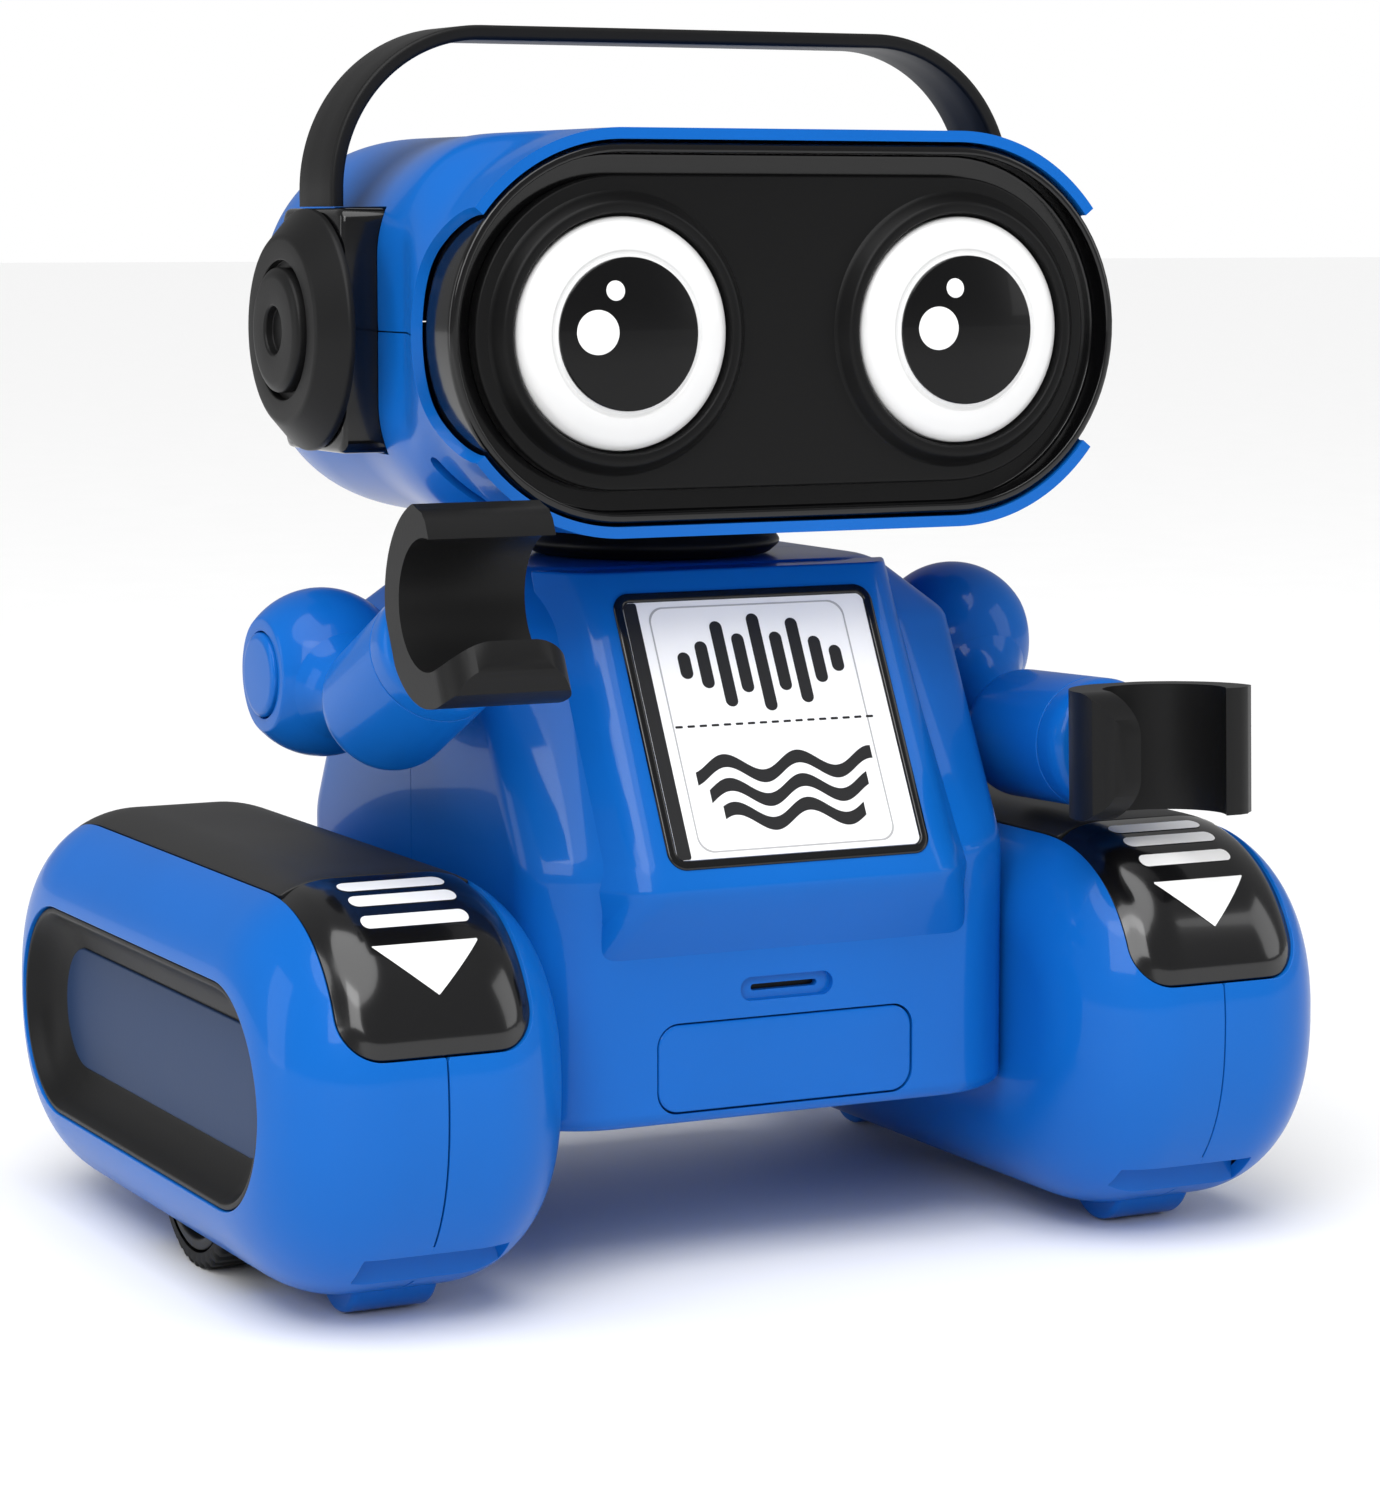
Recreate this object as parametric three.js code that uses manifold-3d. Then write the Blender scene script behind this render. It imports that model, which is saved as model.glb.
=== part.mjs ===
// Toy robot that rolls on two wide side pods: body, head with headphones, gripper arms.
// Millimetres. +Z up, front faces -Y, the robot's right side is -X. The origin is on the
// ground below the middle of the pods.
import * as THREE from 'three';
import { mergeVertices } from 'three/addons/utils/BufferGeometryUtils.js';
import Module from 'manifold-3d';

const wasm = await Module();
wasm.setup();

// ---------------------------------------------------------------- driving dimensions
const GAP = 0.3;                  // play between neighbouring pieces
const WALL = 2.2;                 // moulded shell thickness
const FOOTPRINT_Y = 2.3;          // brings the middle of the footprint to the origin

// head
const HEAD_Z = 171.2;             // height of the eyes
const FACE_STRAIGHT = 33.8;       // half length of the straight part of the face outline
const RIM_R = 35.8;               // outer corner radius of the blue rim round the face
const BEZEL_R = 33.2;             // outer corner radius of the black bezel
const LIP_R = 31.4;               // inner edge of the bezel's lip
const PLATE_R = 27.6;             // corner radius of the face plate
const FACE_Y = -57.5;             // front of the bezel
const PLATE_Y = -55.5;            // front of the face plate
const HEAD_BACK_Y = 48;
const HEAD_HALF_W = 65;
const HEAD_HALF_H = 35.2;
const HEAD_CORNER = 20;
const HEAD_REAR_CORNER = 27;
const SIDE_RIM_Y = -46;           // front edge of the shells beside the bezel
const RIM_CUT = 21.9;             // half height of the gap in the rim at each end
const EYE_X = 34;
const EYE_R = 20.5;
const PUPIL_R = 13.4;
const EAR_Y = -5.5;
const EAR_R = 21.9;
const EAR_FACE_R = 16.6;
const EAR_BASE_X = 72;
const EAR_FACE_X = 77.8;
const EAR_CAP_R = 11.3;
const BAND_HALF_W = 71;
const BAND_TOP_Z = 226.2;
const BAND_T = 2.7;
const BAND_DEPTH = 16;
const BAND_CORNER = 30;

// torso
const TORSO_Y = 2;                // middle plane between the front and rear shells
const DECK_Z = 127.8;
const BELLY_Z = 28.5;
const SIDE_X = 49.9;
const SLOPE = 0.522;              // depth gained per millimetre of height on the chest
const WALL_HALF_D = 57.1;         // half depth of the lower walls
const SIDE_HALF_D = 51.3;         // half depth of the side planes, low down
const FRONT_HALF_W = 40.1;
const KNEE_Z = 75.8;              // above this the walls lean inwards
const PANEL_PROUD = 6.3;          // chest panel in front of the torso's front
const SCREEN_TOP_Z = 123.6;
const SCREEN_BOTTOM_Z = 76.1;
const SCREEN_HALF_W = 26.7;
const SCREEN_FRAME = 4;
const NECK_Y = 1;
const NECK_R = 23;
const NECK_SHAFT_R = 12;
const SHOULDER_Z = 117;
const PANEL_FOOT_Z = 60;
const SCREEN_MID_Z = (SCREEN_TOP_Z + SCREEN_BOTTOM_Z) / 2;
const SCREEN_HALF_H = (SCREEN_TOP_Z - SCREEN_BOTTOM_Z) / 2 * Math.hypot(1, SLOPE);
const HATCH_HALF_W = 26;
const HATCH_Z = 39;
const HATCH_H = 16;
const HATCH_SLOT_W = 19;
const SWITCH_X = 26;
const SWITCH_Z = 44;

// arms
const BALL_X = 67.5;
const BALL_Y = 2.3;
const BALL_Z = 107.8;
const BALL_R = 15.7;
const ARM_DROP = 16.6;             // forearm axis below the ball
const FOREARM_R = 12.4;
const RIGHT_ARM_LIFT = 26;        // degrees above level at rest
const LEFT_ARM_LIFT = 2;
const GRIP_IN_R = 11.3;
const GRIP_OUT_R = 17.5;
const GRIP_W = 23.5;
const GRIP_REACH = 6.5;           // jaw tips in front of the gripper's middle
const GRIP_TIP_R = 12.4;          // outer edge of the jaw tips
const SHAFT_R = 5;
const FORE_START = 23;            // distances along the forearm from the ball
const FORE_END = 52.4;
const COLLAR_END = 60.2;
const BALL_FLAT_X = 79.2;         // where the ball is cut flat for its cap
const CAP_R = 7.8;

// pods
const POD_X = 78.5;
const POD_HALF_W = 28.3;
const POD_Z = 41;
const POD_HALF_H = 37;
const POD_END_Y = 44.2;           // centre of each rounded end
const POD_N = 2.3;                // squareness of the rounded ends
const SEAM_X = 78.2;
const COVER_HALF_W = 18;
const RING_R = 20;
const RING_Z = 40;
const RING_END_Y = 44;
const WHEEL_R = 20;
const WHEEL_Y = -6;
const WHEEL_OUT_X = 97.4;
const WHEEL_W = 11;
const SKID_Y = -49;
const SKID_CLEAR = 0.3;
const LENS_BACK_Y = -50;
const LENS_FOOT_Z = 51;

// ---------------------------------------------------------------- materials
const plastic = (color, roughness, metalness = 0) =>
  new THREE.MeshStandardMaterial({ color, roughness, metalness });
const BLUE = plastic(0x1976dc, 0.25);
const BLUE_INSERT = plastic(0x3a5685, 0.45);
const GLOSS_BLACK = plastic(0x0c0c0e, 0.15);
const SATIN_BLACK = plastic(0x222223, 0.45);
const WHITE = plastic(0xf2f2f2, 0.3);
const SMOKED = plastic(0x2a2a2c, 0.08);
const RUBBER = plastic(0x1c1c1c, 0.85);
const STEEL = plastic(0xb8bcc2, 0.3, 1);
const BOARD = plastic(0x1d6b3a, 0.5);

// ---------------------------------------------------------------- solid helpers
function toSolid(geometry) {
  const g = geometry.clone();
  g.deleteAttribute('normal');
  g.deleteAttribute('uv');
  const merged = mergeVertices(g, 1e-4);
  return new wasm.Manifold(new wasm.Mesh({
    numProp: 3,
    vertProperties: new Float32Array(merged.attributes.position.array),
    triVerts: new Uint32Array(merged.index.array),
  }));
}

function toGeometry(solid) {
  const mesh = solid.getMesh();
  const g = new THREE.BufferGeometry();
  g.setAttribute('position', new THREE.BufferAttribute(new Float32Array(mesh.vertProperties), 3));
  g.setIndex(new THREE.BufferAttribute(new Uint32Array(mesh.triVerts), 1));
  g.computeVertexNormals();
  return g;
}

// Closed solid through flat rings of equal point count; a ring is a list of [x, y, z].
function loft(rings) {
  const count = rings[0].length;
  const index = [];
  for (let r = 0; r + 1 < rings.length; r++) {
    for (let i = 0; i < count; i++) {
      const a = r * count + i;
      const b = r * count + (i + 1) % count;
      index.push(a, b, b + count, a, b + count, a + count);
    }
  }
  const last = rings.length - 1;
  index.push(...capFaces(rings[0]).map(([a, b, c]) => [a, c, b]).flat());
  index.push(...capFaces(rings[last]).flat().map(i => i + last * count));
  if (signedVolume(rings.flat(), index) < 0) index.reverse();
  const g = new THREE.BufferGeometry();
  g.setAttribute('position', new THREE.Float32BufferAttribute(rings.flat(2), 3));
  g.setIndex(index);
  return g;
}

function capFaces(ring) {
  const spread = [0, 1, 2].map(k => Math.max(...ring.map(p => p[k])) - Math.min(...ring.map(p => p[k])));
  const thin = spread.indexOf(Math.min(...spread));
  const [u, v] = [0, 1, 2].filter(k => k !== thin);
  const outline = ring.map(p => new THREE.Vector2(p[u], p[v]));
  const way = Math.sign(THREE.ShapeUtils.area(outline));
  return THREE.ShapeUtils.triangulateShape(outline, []).map(([a, b, c]) => {
    const area = THREE.ShapeUtils.area([outline[a], outline[b], outline[c]]);
    return Math.sign(area) === way ? [a, b, c] : [a, c, b];
  });
}

function signedVolume(points, index) {
  let sum = 0;
  for (let i = 0; i < index.length; i += 3) {
    const [a, b, c] = [0, 1, 2].map(k => new THREE.Vector3(...points[index[i + k]]));
    sum += a.dot(b.cross(c));
  }
  return sum;
}

// Flat outlines are lists of [u, v]. A solid along X maps them to y, z; along Y to x, z.
const ringsAlongX = (sections) => sections.map(([x, pts]) => pts.map(([y, z]) => [x, y, z]));
const ringsAlongY = (sections) => sections.map(([y, pts]) => pts.map(([x, z]) => [x, y, z]));
const ringsAlongZ = (sections) => sections.map(([z, pts]) => pts.map(([x, y]) => [x, y, z]));
const prismX = (pts, x0, x1) => toSolid(loft(ringsAlongX([[x0, pts], [x1, pts]])));
const prismY = (pts, y0, y1) => toSolid(loft(ringsAlongY([[y0, pts], [y1, pts]])));
const prismZ = (pts, z0, z1) => toSolid(loft(ringsAlongZ([[z0, pts], [z1, pts]])));

function box(x0, x1, y0, y1, z0, z1) {
  const g = new THREE.BoxGeometry(x1 - x0, y1 - y0, z1 - z0);
  g.translate((x0 + x1) / 2, (y0 + y1) / 2, (z0 + z1) / 2);
  return toSolid(g);
}

// Turned solid: profile is a list of [radius, distance along the axis] that starts and
// ends on the axis or closes on itself; the axis is 'x', 'y' or 'z' through centre.
function turned(profile, axis, centre, segments = 28) {
  const g = new THREE.LatheGeometry(profile.map(([r, h]) => new THREE.Vector2(r, h)), segments);
  if (axis === 'x') g.rotateZ(-Math.PI / 2);
  if (axis === 'z') g.rotateX(Math.PI / 2);
  g.translate(...centre);
  const solid = toSolid(g);
  if (solid.volume() > 0) return solid;
  const flipped = g.clone();
  flipped.setIndex([...g.index.array].reverse());
  return toSolid(flipped);
}

const disc = (r, axis, centre, h0, h1, segments = 32) =>
  turned([[0, h0], [r, h0], [r, h1], [0, h1]], axis, centre, segments);
const tube = (rOut, rIn, axis, centre, h0, h1, segments = 32) =>
  turned([[rIn, h0], [rOut, h0], [rOut, h1], [rIn, h1], [rIn, h0]], axis, centre, segments);

// Stadium outline: straight half length s along u, corner radius r, centre (cu, cv).
function stadium(s, r, cu, cv, steps = 10) {
  const pts = [];
  for (const side of [1, -1]) {
    for (let i = 0; i <= steps; i++) {
      const a = Math.PI * (i / steps - 0.5);
      pts.push([cu + side * (s + r * Math.cos(a)), cv + side * r * Math.sin(a)]);
    }
  }
  return pts;
}

// Rounded rectangle outline with half sizes a, b and corner radius r.
function roundedRect(a, b, r, cu, cv, steps = 4) {
  const pts = [];
  const corners = [[1, 1], [-1, 1], [-1, -1], [1, -1]];
  [3, 0, 1, 2].forEach((quarter) => {
    const [su, sv] = corners[quarter];
    for (let i = 0; i <= steps; i++) {
      const t = Math.PI / 2 * (quarter + i / steps);
      pts.push([cu + su * (a - r) + r * Math.cos(t), cv + sv * (b - r) + r * Math.sin(t)]);
    }
  });
  return pts;
}

const object = new THREE.Group();
object.position.y = FOOTPRINT_Y;
const add = (name, solid, material, parent = object) => {
  const mesh = new THREE.Mesh(toGeometry(solid), material);
  mesh.name = name;
  parent.add(mesh);
};
const head = new THREE.Group();
object.add(head);

// Adds a left piece as built on the +X side and its mirror image on the right.
function addPair(name, solid, material, parent = object) {
  add('left_' + name, solid, material, parent);
  add('right_' + name, flipX(solid), material, parent);
}

// ---------------------------------------------------------------- head
function headSolid(inset) {
  const face = stadium(FACE_STRAIGHT, RIM_R - inset, 0, HEAD_Z, 9);
  const body = (shrink, corner) => {
    const a = HEAD_HALF_W - inset - shrink;
    const b = HEAD_HALF_H - inset - shrink * 0.64;
    return roundedRect(a, b, corner - inset, 0, HEAD_Z, 4);
  };
  const shoulder = face.map(([x, z], i) => {
    const [u, v] = body(0, HEAD_CORNER)[i];
    return [x * 0.3 + u * 0.7, z * 0.3 + v * 0.7];
  });
  return toSolid(loft(ringsAlongY([
    [FACE_Y, face], [SIDE_RIM_Y - 2, face], [SIDE_RIM_Y + 6, shoulder],
    [SIDE_RIM_Y + 14, body(0, HEAD_CORNER)], [0, body(0, HEAD_REAR_CORNER)],
    [HEAD_BACK_Y - 28, body(0, HEAD_REAR_CORNER)], [HEAD_BACK_Y - 14, body(0.7, HEAD_REAR_CORNER)],
    [HEAD_BACK_Y - 4, body(2.4, HEAD_REAR_CORNER)], [HEAD_BACK_Y - inset, body(5.5, HEAD_REAR_CORNER)],
  ])));
}

function headParts() {
  const outer = headSolid(0);
  const mouth = prismY(stadium(FACE_STRAIGHT, BEZEL_R + GAP, 0, HEAD_Z, 9), FACE_Y - 5, SIDE_RIM_Y + 1);
  const inside = headSolid(WALL).add(mouth);
  const ends = box(-80, 80, FACE_Y - 5, SIDE_RIM_Y, HEAD_Z - RIM_CUT, HEAD_Z + RIM_CUT);
  const earSlot = box(-80, 80, EAR_Y - 15, EAR_Y + 15, HEAD_Z - RIM_CUT - GAP, HEAD_Z + RIM_CUT + GAP);
  const neckHole = disc(NECK_SHAFT_R + GAP, 'z', [0, NECK_Y, 0], HEAD_Z - 60, HEAD_Z);
  const shell = outer.subtract(inside).subtract(ends).subtract(earSlot).subtract(neckHole);
  const above = box(-90, 90, -90, 90, HEAD_Z + GAP / 2, HEAD_Z + 60);
  const below = box(-90, 90, -90, 90, HEAD_Z - 60, HEAD_Z - GAP / 2);
  add('head_upper_shell', shell.intersect(above), BLUE, head);
  add('head_lower_shell', shell.intersect(below), BLUE, head);

  const floorY = PLATE_Y + 3.2;
  const eyeHoles = (r) => disc(r, 'y', [EYE_X, 0, HEAD_Z], -70, -40).add(disc(r, 'y', [-EYE_X, 0, HEAD_Z], -70, -40));
  const outline = (r) => stadium(FACE_STRAIGHT, r, 0, HEAD_Z, 10);
  const bezel = prismY(outline(BEZEL_R), FACE_Y, SIDE_RIM_Y - 1)
    .subtract(prismY(outline(LIP_R), FACE_Y - 5, floorY))
    .subtract(prismY(outline(LIP_R), floorY + 2, SIDE_RIM_Y + 5))
    .subtract(eyeHoles(EYE_R + GAP));
  add('face_bezel', bezel, GLOSS_BLACK, head);

  const rim = (x) => turned([
    [EYE_R + GAP, PLATE_Y + 1], [EYE_R + 4.3, PLATE_Y + 1], [EYE_R + 2.4, PLATE_Y - 3],
    [EYE_R + GAP, PLATE_Y - 2.6], [EYE_R + GAP, PLATE_Y + 1],
  ], 'y', [x, 0, HEAD_Z]);
  const plate = prismY(outline(PLATE_R), PLATE_Y, floorY - GAP)
    .subtract(eyeHoles(EYE_R + GAP)).add(rim(EYE_X)).add(rim(-EYE_X));
  add('face_plate', plate, SATIN_BLACK, head);

  const white = turned([
    [0, -50.5], [EYE_R, -50.5], [EYE_R, -57.2], [19, -58.4], [16.5, -59.2], [PUPIL_R + 0.4, -59.6], [0, -59.6],
  ], 'y', [EYE_X, 0, HEAD_Z]);
  const pupil = turned([[0, -59.9], [PUPIL_R, -59.9], [PUPIL_R, -60.2], [9, -61], [0, -61.4]], 'y', [EYE_X, 0, HEAD_Z]);
  addPair('eye_white', white, WHITE, head);
  addPair('pupil', pupil, GLOSS_BLACK, head);

  const ear = [0, EAR_Y, HEAD_Z];
  const blockOutline = roundedRect(15 - GAP, RIM_CUT, 2.5, EAR_Y, HEAD_Z, 3);
  addPair('ear_block', prismX(blockOutline, HEAD_HALF_W - 5, EAR_BASE_X - GAP), GLOSS_BLACK, head);
  const seatX = EAR_FACE_X - 1.5;
  const cup = turned([
    [0, EAR_BASE_X], [EAR_R, EAR_BASE_X], [EAR_R, EAR_BASE_X + 1], [EAR_FACE_R, EAR_FACE_X],
    [EAR_CAP_R + 1.3, EAR_FACE_X], [EAR_CAP_R + 1.3, seatX], [0, seatX],
  ], 'x', ear);
  addPair('ear_cup', cup, SATIN_BLACK, head);
  const cap = turned([
    [0, seatX + GAP], [EAR_CAP_R, seatX + GAP], [EAR_CAP_R, EAR_FACE_X + 0.7], [EAR_CAP_R - 1, EAR_FACE_X + 1.6],
    [4.4, EAR_FACE_X + 1.6], [4.4, EAR_FACE_X - 0.3], [0, EAR_FACE_X - 0.3],
  ], 'x', ear, 24);
  addPair('ear_cap', cap, SATIN_BLACK, head);

  const arch = (half, top, r, foot) => {
    const pts = [[half, foot]];
    for (let i = 0; i <= 8; i++) {
      const a = Math.PI / 2 * i / 8;
      pts.push([half - r + r * Math.cos(a), top - r + r * Math.sin(a)]);
    }
    return [...pts, ...pts.map(([x, z]) => [-x, z]).reverse()];
  };
  const foot = HEAD_Z + RIM_CUT + GAP;
  const band = prismY(arch(BAND_HALF_W, BAND_TOP_Z, BAND_CORNER, foot), EAR_Y - BAND_DEPTH / 2, EAR_Y + BAND_DEPTH / 2)
    .subtract(prismY(arch(BAND_HALF_W - BAND_T, BAND_TOP_Z - BAND_T, BAND_CORNER - BAND_T, foot - 1),
      EAR_Y - BAND_DEPTH, EAR_Y + BAND_DEPTH));
  add('headband', band, SATIN_BLACK, head);
}

// ---------------------------------------------------------------- torso
function torsoSection(z, inset) {
  const lean = Math.max(0, (z - KNEE_Z) * SLOPE);
  const up = Math.max(0, (z - SHOULDER_Z) / (DECK_Z - SHOULDER_Z));
  const low = z < BELLY_Z + 3 ? 3 - (z - BELLY_Z) : 0;
  const side = SIDE_X - inset - up * 12.5 - low;
  const front = WALL_HALF_D - lean - inset - low;
  const flank = SIDE_HALF_D - lean - inset * 0.8 - up * 2 - low;
  const faceW = FRONT_HALF_W - (lean / 27) * 8 - inset * 0.8 - up * 4 - low;
  const quarter = [[faceW, -front], [side, -flank], [side, flank], [faceW, front]];
  const pts = [...quarter, ...quarter.map(([x, y]) => [-x, y]).reverse()];
  return pts.map(([x, y]) => [x, y + TORSO_Y]);
}

function torsoSolid(inset) {
  const zs = [BELLY_Z + inset, BELLY_Z + 3 + inset * 0.5, KNEE_Z, SHOULDER_Z, DECK_Z - inset];
  return toSolid(loft(ringsAlongZ(zs.map(z => [z, torsoSection(z, inset)]))));
}

// Raised chest panel: its front leans with the chest and its foot curls back to the wall.
function chestPanel(inset) {
  const wallY = TORSO_Y - WALL_HALF_D;
  const lipZ = 72;
  const at = (z) => {
    const lean = wallY - PANEL_PROUD + (z - KNEE_Z) * SLOPE;
    return z < lipZ ? wallY - (z - PANEL_FOOT_Z) / (lipZ - PANEL_FOOT_Z) * 8 : lean;
  };
  const section = (z) => [[30 - inset, at(z) + inset], [36.5 - inset, at(z) + PANEL_PROUD + 4],
    [-36.5 + inset, at(z) + PANEL_PROUD + 4], [-30 + inset, at(z) + inset]];
  const zs = [PANEL_FOOT_Z, lipZ, lipZ + 2.5, DECK_Z - inset];
  return toSolid(loft(ringsAlongZ(zs.map(z => [z, section(z)]))));
}

const chestTurn = new THREE.Matrix4().makeRotationX(-Math.atan(SLOPE))
  .setPosition(0, (TORSO_Y - WALL_HALF_D) - PANEL_PROUD + (SCREEN_MID_Z - KNEE_Z) * SLOPE, SCREEN_MID_Z);

// Plate on the chest: outline half sizes a, b, front h0 to back h1 measured inwards.
function chestPlate(a, b, r, h0, h1) {
  const outline = roundedRect(a, b, r, 0, 0, 3);
  const g = loft(ringsAlongY([[h0, outline], [h1, outline]]));
  return toSolid(g.applyMatrix4(chestTurn));
}

function torsoParts() {
  const frame = [SCREEN_HALF_W, SCREEN_HALF_H, 3.5];
  const pocket = chestPlate(frame[0] + GAP, frame[1] + GAP, 3.8, -3, 2.6);
  const wallY = TORSO_Y - WALL_HALF_D;
  const slot = prismY(stadium(HATCH_SLOT_W / 2 - 2.2, 2.2, 0, 52.5, 5), wallY - 1, wallY + 1.2);
  const hatchHole = prismY(roundedRect(HATCH_HALF_W + GAP, HATCH_H / 2 + GAP, 4.3, 0, HATCH_Z, 3), wallY - 3, wallY + 5);
  const shoulderHole = disc(SHAFT_R + GAP, 'x', [0, BALL_Y, BALL_Z], -60, 60, 20);
  const neckHole = disc(NECK_SHAFT_R + GAP, 'z', [0, NECK_Y, 0], DECK_Z - 10, DECK_Z + 5);
  const backY = TORSO_Y + WALL_HALF_D;
  const switchHole = box(SWITCH_X - 6.3, SWITCH_X + 6.3, backY - 5, backY + 5, SWITCH_Z - 2.8, SWITCH_Z + 2.8);
  let body = torsoSolid(0).add(chestPanel(0)).subtract(torsoSolid(WALL))
    .subtract(pocket).subtract(slot).subtract(hatchHole).subtract(shoulderHole)
    .subtract(neckHole).subtract(switchHole);
  for (const z of [47, 52, 57, 62]) body = body.subtract(box(-11, 11, backY - 5, backY + 5, z - 1, z + 1));
  add('torso_front_shell', body.intersect(box(-90, 90, -90, TORSO_Y - GAP / 2, 0, 200)), BLUE);
  add('torso_rear_shell', body.intersect(box(-90, 90, TORSO_Y + GAP / 2, 90, 0, 200)), BLUE);

  const ring = chestPlate(...frame, -0.3, 2.3).subtract(chestPlate(SCREEN_HALF_W - 3.9, SCREEN_HALF_H - 2.8, 1, -3, 1.1));
  add('chest_frame', ring, GLOSS_BLACK);
  add('chest_display', chestPlate(SCREEN_HALF_W - 4.2, SCREEN_HALF_H - 3.1, 0.8, 0.1, 0.8), WHITE);
  add('front_hatch', prismY(roundedRect(HATCH_HALF_W, HATCH_H / 2, 4, 0, HATCH_Z, 3), wallY, wallY + WALL), BLUE);

  const collar = turned([
    [NECK_SHAFT_R + GAP, 0.3], [NECK_R - 0.5, 0.3], [NECK_R + 2, 2.4], [NECK_R, 5], [NECK_R - 3, 7.2],
    [NECK_SHAFT_R + GAP, 7.2], [NECK_SHAFT_R + GAP, 0.3],
  ], 'z', [0, NECK_Y, DECK_Z]);
  add('neck_collar', collar, SATIN_BLACK);
  const shaft = turned([
    [9, -8], [15, -8], [15, -2.6], [NECK_SHAFT_R, -2.6], [NECK_SHAFT_R, 10.4], [15, 10.4], [15, 13], [9, 13], [9, -8],
  ], 'z', [0, NECK_Y, DECK_Z], 24);
  add('neck_shaft', shaft, SATIN_BLACK, head);

  add('battery_pack', box(-29, 29, wallY + 3, wallY + 31, BELLY_Z + 2.8, BELLY_Z + 30), GLOSS_BLACK);
  add('circuit_board', box(-28, 28, 34, 35.6, 58, 104), BOARD);
  add('speaker', turned([[0, 0], [14, 0], [18, 7], [18, 10], [0, 10]], 'y', [0, backY - WALL - 10.4, 54.5], 24), STEEL);
  const knob = box(SWITCH_X - 3, SWITCH_X + 1, backY - 2, backY + 1.4, SWITCH_Z - 2.4, SWITCH_Z + 2.4)
    .add(box(SWITCH_X - 5, SWITCH_X + 3, backY - 5, backY - WALL - GAP, SWITCH_Z - 4, SWITCH_Z + 4))
    .add(box(SWITCH_X - 3, SWITCH_X + 1, backY - 4, backY - 1, SWITCH_Z - 2.4, SWITCH_Z + 2.4));
  add('power_switch', knob, SATIN_BLACK);
}

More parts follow.
